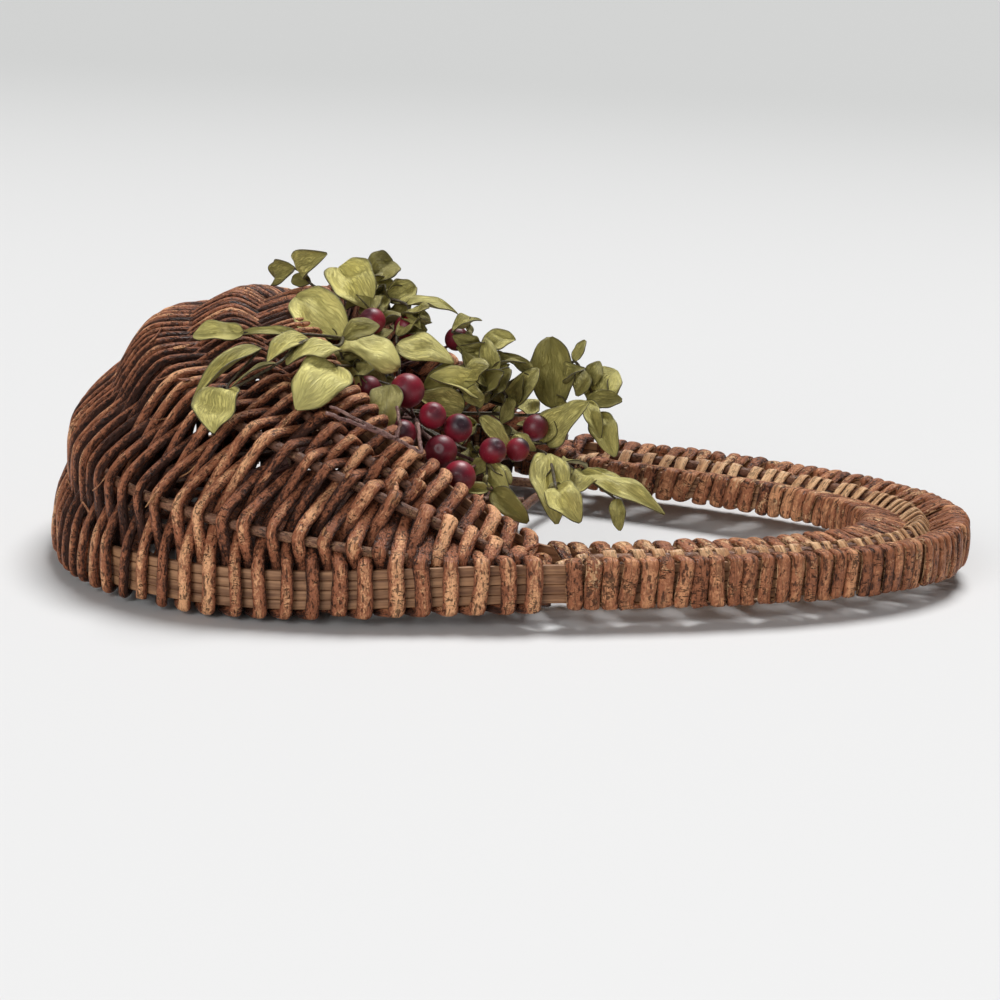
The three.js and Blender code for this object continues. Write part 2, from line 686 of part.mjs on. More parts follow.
// The bound stems: their foot stands on a row of the back, where it passes over the middle rib.
const STEM_SIDES = 8;
const stemHead = placed(STEM_HEAD);
const stemFoot = point(backRowX(STEM_FOOT_ROW), 0, BACK_TOP).sub(spray.position);
const stemTilt = Math.atan2(stemHead.z - stemFoot.z - STEM_RADIUS, stemHead.x - stemFoot.x);
stemFoot.z += FIT + STEM_RADIUS * Math.cos(Math.PI / STEM_SIDES) * Math.cos(stemTilt);
const stemRings = rodRings([stemFoot, stemHead], STEM_RADIUS, STEM_SIDES, false);
addPiece("spray_stem_bundle", solidOfRings(stemRings, false), TWIG_COLOUR, { group: spray });

// Twigs leave the head of the stems side by side, in a ring.
const stemRun = stemHead.clone().sub(stemFoot).normalize();
const stemLift = stemRun.clone().cross(point(0, 1, 0));
function twigRoot(place) {
  const turn = (place / TWIGS) * 2 * Math.PI;
  return stemHead
    .clone()
    .addScaledVector(stemRun, TWIG_RADIUS + FIT)
    .addScaledVector(stemLift, TWIG_RING_RADIUS * Math.sin(turn))
    .add(point(0, TWIG_RING_RADIUS * Math.cos(turn), 0));
}
const TWIG_SIDES = 5;
const twig = (points) => solidOfRings(rodRings(points, TWIG_RADIUS, TWIG_SIDES, false), false);

// A leaf: a thin blade, thickest along its midrib, with its sides lifted towards its face.
function leaf({ base, tip, width, face = LEAF_FACE }) {
  const start = placed(base);
  const run = placed(tip).sub(start);
  const side = run.clone().cross(point(...face)).normalize();
  const lift = side.clone().cross(run).normalize();
  const rings = Array.from({ length: LEAF_STEPS + 1 }, (_, i) => {
    const along = i / LEAF_STEPS;
    const half = Math.max((width / 2) * Math.sin(Math.PI * along ** LEAF_FULLNESS), TWIG_RADIUS / 2);
    const middle = start.clone().addScaledVector(run, along);
    const rim = middle.clone().addScaledVector(lift, LEAF_CUP * half);
    return [
      rim.clone().addScaledVector(side, half),
      middle.clone().addScaledVector(lift, LEAF_THICKNESS / 2),
      rim.clone().addScaledVector(side, -half),
      middle.clone().addScaledVector(lift, -LEAF_THICKNESS / 2),
    ];
  });
  return solidOfRings(rings, false);
}
function addSprig(name, place, branches) {
  const start = twigRoot(place);
  const pieces = branches.flatMap(({ way = [], leaves }) => {
    const points = [start, ...[...way, ...leaves.map(({ base }) => base)].map(placed)];
    return [twig(points), ...leaves.map(leaf)];
  });
  addPiece(name, joined(pieces), LEAF_COLOUR, { group: spray });
}
SPRIGS.forEach(({ name, place, branches }) => addSprig(name, place, branches));

// Berries, each on the end of a twig.
const BERRY_DETAIL = 1;
BERRY_TWIGS.forEach(({ name, place, way, berries }) => {
  const start = twigRoot(place);
  const fork = [start, ...way.map(placed)];
  const stalks = berries.map(({ at, radius }) => {
    const middle = placed(at);
    const last = fork[fork.length - 1];
    const reach = middle.distanceTo(last) - radius - FIT;
    return twig([last, last.clone().add(middle.clone().sub(last).setLength(reach))]);
  });
  addPiece(name, joined([twig(fork), ...stalks]), TWIG_COLOUR, { group: spray });
});
BERRY_TWIGS.flatMap(({ berries }) => berries).forEach(({ at, radius }, i) => {
  const ball = new THREE.IcosahedronGeometry(radius, BERRY_DETAIL);
  ball.deleteAttribute("normal").deleteAttribute("uv");
  const geometry = mergeVertices(ball).translate(...placed(at).toArray());
  const name = `berry_${String(i + 1).padStart(2, "0")}`;
  addPiece(name, geometry, BERRY_COLOUR, { group: spray, roughness: BERRY_ROUGHNESS });
});

// The origin is the middle of the underside of the whole.
const whole = new THREE.Box3().setFromObject(basket);
const middle = whole.getCenter(point());
basket.position.set(-middle.x, -middle.y, -whole.min.z);

export default root;
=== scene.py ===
"""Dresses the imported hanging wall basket: woven willow on a reed frame, with a spray of leaves and berries.

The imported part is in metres, with +X to the tip of the handle, +Y to the far side and +Z off the wall.
Sizes in the classes are millimetres about the middle of the back hoop, and Placement brings them into
the frame.
"""

import logging
import math
from dataclasses import dataclass, field
from enum import Enum

import bpy
import numpy as np
from mathutils import Matrix, Vector


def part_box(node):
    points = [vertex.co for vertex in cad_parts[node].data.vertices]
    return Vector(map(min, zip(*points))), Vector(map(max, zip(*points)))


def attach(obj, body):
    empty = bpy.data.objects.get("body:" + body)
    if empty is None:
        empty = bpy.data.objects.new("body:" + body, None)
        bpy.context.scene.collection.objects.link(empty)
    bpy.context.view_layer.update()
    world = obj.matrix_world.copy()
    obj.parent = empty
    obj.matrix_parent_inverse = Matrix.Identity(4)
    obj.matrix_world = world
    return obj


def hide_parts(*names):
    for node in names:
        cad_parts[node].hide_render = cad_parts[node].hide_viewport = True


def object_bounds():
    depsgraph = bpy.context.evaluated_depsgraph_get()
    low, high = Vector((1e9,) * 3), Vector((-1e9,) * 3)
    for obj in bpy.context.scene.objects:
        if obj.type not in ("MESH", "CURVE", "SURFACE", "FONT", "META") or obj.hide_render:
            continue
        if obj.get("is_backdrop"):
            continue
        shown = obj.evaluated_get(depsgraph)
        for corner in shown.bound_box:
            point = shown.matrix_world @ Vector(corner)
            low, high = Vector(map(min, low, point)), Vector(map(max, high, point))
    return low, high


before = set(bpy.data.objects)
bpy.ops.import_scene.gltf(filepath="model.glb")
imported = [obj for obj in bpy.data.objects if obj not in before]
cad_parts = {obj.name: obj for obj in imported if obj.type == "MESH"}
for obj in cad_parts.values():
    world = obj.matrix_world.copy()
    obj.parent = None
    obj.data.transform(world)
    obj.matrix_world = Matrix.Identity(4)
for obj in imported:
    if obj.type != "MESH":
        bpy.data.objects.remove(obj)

Array = np.ndarray
Rng = np.random.Generator
Point = tuple[float, float, float]
Span = tuple[float, float]
Colour = tuple[float, float, float, float]
Socket = bpy.types.NodeSocket

MM = 0.001
UP = np.array([0.0, 0.0, 1.0])
ASIDE = np.array([0.0, 1.0, 0.0])
STEM_ACROSS = np.array([0.3, 0.5, 0.8])
FULL_TURN = 6.28
TINY = 1e-9
FINISH = "finish"
SPLIT_INSIDE = 0.45
SPLIT_INSIDE_POWER = 0.5
SPLIT_OUTSIDE_POWER = 0.7
FLAT_POWER = 0.3
log = logging.getLogger("wall_basket")


class Body(Enum):
    """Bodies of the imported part."""

    BASKET = "basket"
    SPRAY = "spray"


class Slot(Enum):
    """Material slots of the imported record."""

    REED = "frame_reed"
    RIB = "rib_rod"
    BARK = "willow_bark"
    STRIP = "split_willow"
    LEAF = "leaf_cloth"
    TWIG = "twig_stem"
    BERRY = "berry_skin"


class Section(Enum):
    """Shapes of a strand's cross section."""

    ROUND = "round rod"
    SPLIT = "split rod, flat inside and round outside"
    FLAT = "flat reed with eased corners"

    def outline(self, sides: int) -> Array:
        """Gives the section's outline.

        Args:
            sides: how many corners it has.

        Returns:
            Corners as (across, up), where 1 is half the width or half the thickness.
        """
        turn = np.arange(sides) / sides * 2 * math.pi
        across, up = np.cos(turn), np.sin(turn)
        if self is Section.SPLIT:
            inside = SPLIT_INSIDE * np.abs(up) ** SPLIT_INSIDE_POWER
            up = np.where(up > 0, inside, -np.abs(up) ** SPLIT_OUTSIDE_POWER)
        if self is Section.FLAT:
            across = np.sign(across) * np.abs(across) ** FLAT_POWER
            up = np.sign(up) * np.abs(up) ** FLAT_POWER
        return np.stack([across, up], axis=1)


def unit(vectors: Array) -> Array:
    """Scales vectors along the last axis to a length of 1."""
    return vectors / np.maximum(np.linalg.norm(vectors, axis=-1, keepdims=True), TINY)


def ease(share: Array | float) -> Array | float:
    """Turns an even way from 0 to 1 into one that starts and ends gently."""
    return share * share * (3 - 2 * share)


def drift(count: int, spacing: float, rng: Rng) -> Array:
    """Gives smooth random values along a line.

    Args:
        count: how many values there are.
        spacing: how many values lie between two turns of the drift.
        rng: the seeded source.

    Returns:
        Values between -1 and 1.
    """
    spare, end_gap = 4, 1.001
    knots = rng.uniform(-1, 1, int(count / spacing) + spare)
    along = np.linspace(0, len(knots) - end_gap, count)
    low = along.astype(int)
    share = ease(along - low)
    return knots[low] * (1 - share) + knots[low + 1] * share


@dataclass(frozen=True)
class Vary:
    """A value that drifts along a strand: its middle, its swing, and the sections between two turns."""

    middle: float
    swing: float
    spacing: float

    def along(self, count: int, rng: Rng) -> Array:
        """Draws the value at a number of sections."""
        return self.middle + self.swing * drift(count, self.spacing, rng)


def thread(
    points: Array, sides: Array, spacing: float, tension: Array | float
) -> tuple[Array, Array, Array]:
    """Runs a smooth line through points.

    Args:
        points: the places that the line goes through.
        sides: the direction of the strand's width at each of them.
        spacing: the longest step along the line.
        tension: 1 for a loose curve, and less for straighter runs with tighter corners. It is one value
            for all points, or one for each.

    Returns:
        The line's places, the width's direction at each, and how many points each has passed.
    """
    runs = np.diff(points, axis=0)
    gaps = np.linalg.norm(runs, axis=1)
    slopes = runs / gaps[:, None]
    tangents = np.empty_like(points)
    tangents[0], tangents[-1] = slopes[0], slopes[-1]
    before, after = gaps[:-1, None], gaps[1:, None]
    pull = np.broadcast_to(tension, len(points))[1:-1, None]
    tangents[1:-1] = pull * (after * slopes[:-1] + before * slopes[1:]) / (before + after)
    line, across, passed = [], [], []
    for i, gap in enumerate(gaps):
        steps = max(2, math.ceil(gap / spacing))
        t = (np.arange(steps) / steps)[:, None]
        start = (2 * t**3 - 3 * t**2 + 1) * points[i] + (t**3 - 2 * t**2 + t) * gap * tangents[i]
        end = (3 * t**2 - 2 * t**3) * points[i + 1] + (t**3 - t**2) * gap * tangents[i + 1]
        line.append(start + end)
        across.append((1 - t) * sides[i] + t * sides[i + 1])
        passed.append(i + t[:, 0])
    line.append(points[-1:])
    across.append(sides[-1:])
    passed.append(np.array([len(gaps)]))
    return np.concatenate(line), np.concatenate(across), np.concatenate(passed)


def bend(points: Array, spacing: float, tension: float) -> Array:
    """Runs the smooth line of a round stem through points, as thread does."""
    line, _, _ = thread(points, np.tile(UP, (len(points), 1)), spacing, tension)
    return line


@dataclass
class FrameLines:
    """Middle lines of the two hoops and the pocket's skin between them, by the share of the way round.

    The share runs from the handle's tip by way of +Y. Angle 0 of the skin is the back hoop, and 90 the
    mouth hoop.
    """

    length: float = 343.0
    width: float = 246.0
    taper: float = -0.36
    fullness: float = 0.26
    middle: float = 10.25
    bottom: float = 3.5
    handle_width: float = 33.0
    ear_x: float = 24.0
    lip_x: float = -84.0
    lip_height: float = 84.5
    rim_bulge: float = 45.0
    rim_sag: float = 1.5
    lean: float = 0.4
    belly: float = 9.0
    handle_arch: float = 5.5
    arch_ease: float = 0.02
    rib_angles: Point = (21.0, 51.5, 72.5)
    handle_angle: float = 55.0
    droop: float = 4.0
    droop_start: float = 20.0
    droop_reach: Span = (110.0, 80.0)
    ease: float = 1 / 3
    ease_steps: int = 48
    samples: int = 1920
    egg_detail: int = 12
    rim_detail: int = 6
    probe_share: float = 1 / 400
    probe_angle: float = 1.0

    def __post_init__(self) -> None:
        """Works the lines out as tables that are read by share."""
        turn = np.linspace(0, 2 * math.pi, self.egg_detail * self.samples + 1)
        c = np.cos(turn)
        swell = 1 + self.taper * c + self.fullness * c * c
        across = self.width / 2 * np.sin(turn) * swell
        egg = np.stack([self.length / 2 * c, across, np.full_like(c, self.middle)], 1)
        self.hoop_table, self.hoop_round = self._evenly(egg, self.samples + 1)
        self.hoop_table = self.hoop_table[:-1]
        x, y = self.hoop_table[:, 0], self.hoop_table[:, 1]
        low = np.clip((self.droop_start - x) / self.droop_reach[0], 0, 1)
        aside = np.clip(np.abs(y) / self.droop_reach[1], 0, 1)
        self.hoop_table[:, 2] -= self.droop * ease(low) * ease(aside)
        self.hoop_tangents = self._tangents(self.hoop_table)
        edge = self.hoop_table - self.handle_width * np.cross(self.hoop_tangents, UP)
        half = self.samples // 2
        self.ear = int(np.argmax(self.hoop_table[:half, 0] < self.ear_x))
        self.ear_share = self.ear / self.samples
        rim, _ = self._evenly(self._rim(edge[self.ear]), self.samples - 2 * self.ear + 1)
        corner = edge.copy()
        corner[self.ear : self.samples - self.ear + 1] = rim
        step = self.samples // self.ease_steps
        beside = (np.roll(corner, step, 0) + np.roll(corner, -step, 0)) / 2
        eased = corner + self.ease * (beside - corner)
        reach = range(-step // 2, step // 2 + 1)
        self.mouth_table = sum(np.roll(eased, i, 0) for i in reach) / len(reach)
        self.mouth_tangents = self._tangents(self.mouth_table)

    @staticmethod
    def _evenly(points: Array, count: int) -> tuple[Array, float]:
        """Spaces points evenly along a line, and gives its length too."""
        gone = np.concatenate([[0], np.cumsum(np.linalg.norm(np.diff(points, axis=0), axis=1))])
        at = np.linspace(0, gone[-1], count)
        return np.stack([np.interp(at, gone, points[:, i]) for i in range(3)], 1), float(gone[-1])

    @staticmethod
    def _tangents(points: Array) -> Array:
        """Gives the directions along a closed line."""
        return unit(np.roll(points, -1, 0) - np.roll(points, 1, 0))

    def _rim(self, ear: Array) -> Array:
        """Gives the front rim's line from the ear at +Y over the lip to the other ear."""
        turn = np.linspace(0, math.pi, self.rim_detail * self.samples + 1)
        rise = np.sin(turn)
        x = ear[0] + (self.lip_x - ear[0]) * rise
        y = np.cos(turn) * (ear[1] + self.rim_bulge * rise)
        z = ear[2] + (self.lip_height - ear[2]) * rise - 4 * self.rim_sag * rise * (1 - rise)
        return np.stack([x, y, z], 1)

    def _read(self, table: Array, share: float) -> Array:
        """Reads a table at a share of the way round."""
        along = (share % 1.0) * self.samples
        low = int(along) % self.samples
        return table[low] + (along - int(along)) * (table[(low + 1) % self.samples] - table[low])

    def hoop(self, share: float) -> Array:
        """The back hoop's middle line."""
        return self._read(self.hoop_table, share)

    def hoop_along(self, share: float) -> Array:
        """The direction along the back hoop."""
        return unit(self._read(self.hoop_tangents, share))

    def hoop_out(self, share: float) -> Array:
        """The direction out of the back hoop."""
        return unit(np.cross(self.hoop_along(share), UP))

    def mouth(self, share: float) -> Array:
        """The mouth hoop's middle line."""
        return self._read(self.mouth_table, share)

    def mouth_along(self, share: float) -> Array:
        """The direction along the mouth hoop."""
        return unit(self._read(self.mouth_tangents, share))

    def mouth_in(self, share: float) -> Array:
        """The level direction into the mouth."""
        return unit(np.cross(UP, self.mouth_along(share)))

    def mouth_up(self, share: float) -> Array:
        """The direction up the stack of the mouth hoop's reeds."""
        return np.cross(self.mouth_along(share), self.mouth_in(share))

    def along_pocket(self, share: float) -> float:
        """How far a share is from the bottom of the pocket: 0 there, and -1 and 1 at the ears."""
        return ((share % 1.0) - 0.5) / (0.5 - self.ear_share)

    def over(self, share: float) -> float:
        """The mouth's share that a strand from a share of the back hoop leans to."""
        way = self.along_pocket(share)
        far = abs(way)
        if far >= 1:
            return share
        leaned = far - self.lean * far * far * (1 - far)
        return 0.5 + math.copysign(leaned, way) * (0.5 - self.ear_share)

    def skin(self, share: float, angle: float) -> Array:
        """The pocket's skin, a full quarter of an ellipse from the back hoop to the mouth hoop.

        Along the handle it arches over from one hoop to the other.
        """
        hoop, mouth = self.hoop(share), self.mouth(self.over(share))
        turn = math.radians(angle)
        reach = 1 - math.cos(turn)
        flat = hoop + (mouth - hoop) * np.array([reach, reach, math.sin(turn)])
        way = abs(self.along_pocket(share))
        if way < 1:
            return flat + self.belly * math.sin(2 * turn) * math.cos(math.pi / 2 * way) ** 2 * UP
        beyond = min((way - 1) * (0.5 - self.ear_share) / self.arch_ease, 1)
        return flat + self.handle_arch * math.sin(2 * turn) * ease(beyond) * UP

    def rib_angle(self, share: float, number: int) -> float:
        """The skin's angle of a rib. The middle one rises to the handle's middle rod towards the ears."""
        angle = self.rib_angles[number]
        way = min(abs(self.along_pocket(share)), 1)
        return angle + (self.handle_angle - angle) * ease(way) if number == 1 else angle

    def skin_along(self, share: float, angle: float) -> Array:
        """The direction along the skin, at one angle."""
        return unit(self.skin(share + self.probe_share, angle) - self.skin(share - self.probe_share, angle))

    def skin_out(self, share: float, angle: float) -> Array:
        """The direction out of the skin."""
        run = self.skin(share, angle + self.probe_angle) - self.skin(share, angle - self.probe_angle)
        return unit(np.cross(self.skin_along(share, angle), run))

    def lip(self) -> Array:
        """The middle of the lip, from which places in the spray are measured."""
        return np.array([self.lip_x, 0.0, self.lip_height])


@dataclass(frozen=True)
class Placement:
    """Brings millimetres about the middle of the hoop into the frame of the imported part."""

    shift: Point

    @classmethod
    def from_frame(cls, lines: FrameLines, reed: str, half_reed: float) -> "Placement":
        """Finds the shift from the lowest reed of the back hoop.

        Args:
            lines: the frame's lines.
            reed: the CAD node of that reed.
            half_reed: half of its thickness.

        Returns:
            The placement.
        """
        low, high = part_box(reed)
        along = high.x / MM - lines.length / 2 - half_reed
        return cls((along, (low.y + high.y) / 2 / MM, low.z / MM - lines.bottom))

    def place(self, points: Array) -> Array:
        """Gives points in metres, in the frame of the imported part."""
        return (np.asarray(points, float) + np.array(self.shift)) * MM


@dataclass
class Strand:
    """One rod, strip, reed or stem: a line of sections with a finish along it."""

    line: Array
    across: Array
    width: Array
    thickness: Array
    tone: Array
    worn: Array
    inside_worn: float | None = None
    section: Section = Section.ROUND
    sides: int = 10
    closed: bool = False
    start: float = 0.0
    rough: Array | float = 0.0
    # how much painted shade darkens a strand's flanks and painted light lifts its face
    painted_flank_shade: float = 0.0
    face_share: float = 0.3
    flank_power: float = 2.5
    flank_wear: float = 0.5
    inside_slope: float = 4.0
    inside_start: float = 0.75
    seed_scale: float = 1e6
    lump_passes: int = 2

    def axes(self) -> tuple[Array, Array, Array]:
        """Gives the directions along, across and up from the strand at each section."""
        if self.closed:
            along = unit(np.roll(self.line, -1, 0) - np.roll(self.line, 1, 0))
        else:
            along = unit(np.gradient(self.line, axis=0))
        side = unit(self.across - along * np.sum(self.across * along, axis=1, keepdims=True))
        return along, side, np.cross(along, side)

    def rings(self) -> Array:
        """Gives the corners of every section."""
        _, side, lift = self.axes()
        shape = self.section.outline(self.sides)
        wide = (self.width / 2)[:, None, None] * shape[None, :, 0, None]
        thick = (self.thickness / 2)[:, None, None] * shape[None, :, 1, None]
        return self.line[:, None] + (side[:, None] * wide + lift[:, None] * thick) * self._lumps()[..., None]

    def _lumps(self) -> Array:
        """Gives how much each corner of a rough strand stands out or lies back."""
        rng = np.random.default_rng(int(self.start * self.seed_scale))
        lumps = rng.normal(size=(len(self.line), self.sides))
        for axis, weight in ((0, 2), (1, 3)) * self.lump_passes:
            beside = np.roll(lumps, 1, axis) + weight * lumps + np.roll(lumps, -1, axis)
            lumps = beside / (weight + 2)
        return 1 + np.reshape(self.rough, (-1, 1)) * lumps / max(float(np.std(lumps)), TINY)

    def finish(self) -> Array:
        """Gives tone, wear and a strand number for every corner, with painted shade on the flanks and painted
        light on the face.
        """
        shape = self.section.outline(self.sides)
        worn = np.repeat(self.worn[:, None], self.sides, axis=1)
        if self.inside_worn is not None:
            inside = np.clip(shape[None, :, 1] * self.inside_slope + self.inside_start, 0, 1)
            worn = worn + (self.inside_worn - worn) * inside
        # painted shade: the flanks are darkened and kept from paling, and the face is lightened, as light
        # falls on a round strand
        flank = np.abs(shape[None, :, 0]) ** self.flank_power
        tone = self.tone[:, None] + self.painted_flank_shade * (self.face_share - flank)
        worn = worn - self.painted_flank_shade * flank * self.flank_wear
        number = np.full_like(tone, self.start % 1.0)
        return np.stack([tone, worn, number, np.ones_like(tone)], axis=-1)

    def lengths(self) -> Array:
        """Gives how far along the strand each section is, and the end of a closed one."""
        line = np.concatenate([self.line, self.line[:1]]) if self.closed else self.line
        return np.concatenate([[0], np.cumsum(np.linalg.norm(np.diff(line, axis=0), axis=1))])


@dataclass
class StrandPiece:
    """A piece of the model that is made of strands."""

    name: str
    placement: Placement
    strands: list[Strand] = field(default_factory=list)

    def build(self) -> bpy.types.Object:
        """Builds the piece as one mesh, with a UV map in metres along and round each strand.

        Returns:
            The new object, at the origin, with its place in its mesh.
        """
        points, faces, uvs, finish = [], [], [], []
        first = 0
        for strand in self.strands:
            rings = strand.rings()
            count, sides = rings.shape[:2]
            links = count if strand.closed else count - 1
            i, j = np.meshgrid(np.arange(links), np.arange(sides), indexing="ij")
            here, there = first + i * sides, first + (i + 1) % count * sides
            beside = (j + 1) % sides
            quads = np.stack([here + j, here + beside, there + beside, there + j], -1).reshape(-1, 4)
            along = strand.lengths() * MM + strand.start
            girth = math.pi * float(np.mean(strand.width + strand.thickness)) / 2 * MM
            round_it = np.arange(sides + 1) / sides * girth
            corners = [(along[i], round_it[j]), (along[i], round_it[j + 1])]
            corners += [(along[i + 1], round_it[j + 1]), (along[i + 1], round_it[j])]
            uvs.append(np.stack([np.stack(c, -1) for c in corners], -2).reshape(-1, 2))
            faces.extend(quads.tolist())
            if not strand.closed:
                last = first + (count - 1) * sides
                faces.append(list(range(first + sides - 1, first - 1, -1)))
                faces.append(list(range(last, last + sides)))
                ends = np.repeat([[along[0], 0.0], [along[-1], 0.0]], sides, axis=0)
                uvs.append(ends + np.tile(round_it[:sides, None] * [[0.0, 1.0]], (2, 1)))
            points.append(rings.reshape(-1, 3))
            finish.append(strand.finish().reshape(-1, 4))
            first += count * sides
        placed = self.placement.place(np.concatenate(points))
        return mesh_object(self.name, placed, faces, uvs, finish)


def add_object(name: str, data: bpy.types.ID) -> bpy.types.Object:
    """Adds an object with its data to the scene."""
    made = bpy.data.objects.new(name, data)
    bpy.context.scene.collection.objects.link(made)
    return made


def set_marks(mesh: bpy.types.Mesh, marks: Array) -> None:
    """Gives every corner of a mesh its finish: tone, wear, number and 1."""
    attribute = mesh.attributes.new(FINISH, "FLOAT_COLOR", "POINT")
    attribute.data.foreach_set("color", marks.astype(np.float32).ravel())


def mesh_object(
    name: str, points: Array, faces: list[list[int]], uvs: list[Array], finish: list[Array]
) -> bpy.types.Object:
    """Makes a smooth mesh object.

    Args:
        name: the piece's name.
        points: its corners, in metres.
        faces: corner numbers of each face.
        uvs: UV places in the order of the faces' corners.
        finish: tone, wear, number and 1 for each corner.

    Returns:
        The new object.
    """
    mesh = bpy.data.meshes.new(name)
    mesh.from_pydata(points.tolist(), [], faces)
    layer = mesh.uv_layers.new(name="UVMap")
    layer.data.foreach_set("uv", np.concatenate(uvs).astype(np.float32).ravel())
    set_marks(mesh, np.concatenate(finish))
    mesh.polygons.foreach_set("use_smooth", np.ones(len(mesh.polygons), bool))
    mesh.update()
    return add_object(name, mesh)


def only(piece: bpy.types.Object) -> None:
    """Makes one object the only one that is selected, and the active one."""
    bpy.ops.object.select_all(action="DESELECT")
    piece.select_set(True)
    bpy.context.view_layer.objects.active = piece


def hand_over(piece: bpy.types.Object, body: Body, nodes: list[str]) -> None:
    """Lets a piece ride on a body in place of CAD nodes, and reports it.

    Args:
        piece: the finished piece.
        body: the body that it moves with.
        nodes: the CAD nodes that it stands for.
    """
    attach(piece, body.value)
    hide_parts(*nodes)
    log.info("%s: %d faces, for %s", piece.name, len(piece.data.polygons), ", ".join(nodes))


class NodeSheet:
    """A node tree with short ways to add and join its nodes."""

    def __init__(self, tree: bpy.types.NodeTree) -> None:
        """Starts on a tree."""
        self.tree = tree

    def node(self, kind: str, **settings: object) -> bpy.types.Node:
        """Adds a node and sets its properties."""
        made = self.tree.nodes.new(kind)
        for name, value in settings.items():
            setattr(made, name, value)
        return made

    def feed(self, socket: Socket, value: Socket | float | Colour | Point) -> None:
        """Links a socket to another, or sets its own value."""
        if isinstance(value, bpy.types.NodeSocket):
            self.tree.links.new(value, socket)
        else:
            socket.default_value = value

    def math(self, operation: str, first: Socket | float, second: Socket | float = 0.0) -> Socket:
        """Adds a Math node, and gives its result."""
        made = self.node("ShaderNodeMath", operation=operation)
        self.feed(made.inputs[0], first)
        self.feed(made.inputs[1], second)
        return made.outputs[0]

    def mix(self, share: Socket | float, first: Socket | Colour, second: Socket | Colour) -> Socket:
        """Mixes two colours, and gives the result."""
        made = self.node("ShaderNodeMix", data_type="RGBA")
        self.feed(made.inputs[0], share)
        self.feed(made.inputs[6], first)
        self.feed(made.inputs[7], second)
        return made.outputs[2]

    def blend(self, share: Socket | float, first: Socket | float, second: Socket | float) -> Socket:
        """Mixes two values, and gives the result."""
        made = self.node("ShaderNodeMix", data_type="FLOAT")
        self.feed(made.inputs[0], share)
        self.feed(made.inputs[2], first)
        self.feed(made.inputs[3], second)
        return made.outputs[0]

    def stretch(
        self, value: Socket, low: float, high: float, to_low: float = 0, to_high: float = 1
    ) -> Socket:
        """Maps a range of values smoothly onto another, and holds it there."""
        made = self.node("ShaderNodeMapRange", interpolation_type="SMOOTHSTEP")
        self.feed(made.inputs["Value"], value)
        for name, number in (("From Min", low), ("From Max", high), ("To Min", to_low), ("To Max", to_high)):
            made.inputs[name].default_value = number
        return made.outputs["Result"]

    def scaled(self, vector: Socket, scale: Point, offset: Socket | None = None) -> Socket:
        """Scales a vector, and shifts it by a value in all directions."""
        made = self.node("ShaderNodeVectorMath", operation="MULTIPLY")
        self.feed(made.inputs[0], vector)
        made.inputs[1].default_value = scale
        if offset is None:
            return made.outputs[0]
        moved = self.node("ShaderNodeVectorMath", operation="ADD")
        self.feed(moved.inputs[0], made.outputs[0])
        self.feed(moved.inputs[1], offset)
        return moved.outputs[0]

    def noise(self, vector: Socket, scale: float, detail: float = 4, rough: float = 0.55) -> Socket:
        """Adds a Noise Texture, and gives its value."""
        made = self.node("ShaderNodeTexNoise")
        self.feed(made.inputs["Vector"], vector)
        made.inputs["Scale"].default_value = scale
        made.inputs["Detail"].default_value = detail
        made.inputs["Roughness"].default_value = rough
        return made.outputs["Fac"]

    def cells(self, vector: Socket, scale: float) -> Socket:
        """Adds a Voronoi Texture, and gives the distance to the middle of its cells."""
        made = self.node("ShaderNodeTexVoronoi")
        self.feed(made.inputs["Vector"], vector)
        made.inputs["Scale"].default_value = scale
        return made.outputs["Distance"]

    def ridge(self, value: Socket) -> Socket:
        """Turns a noise into lines: 1 where it passes its middle, 0 away from it."""
        off = self.math("ABSOLUTE", self.math("SUBTRACT", value, 0.5))
        return self.math("SUBTRACT", 1.0, self.math("MULTIPLY", off, 2.0))

    def group(self, tree: bpy.types.NodeTree, values: dict[str, Socket | float | Colour]) -> bpy.types.Node:
        """Adds a node group with its inputs set or linked."""
        made = self.node("ShaderNodeGroup")
        made.node_tree = tree
        for name, value in values.items():
            self.feed(made.inputs[name], value)
        return made


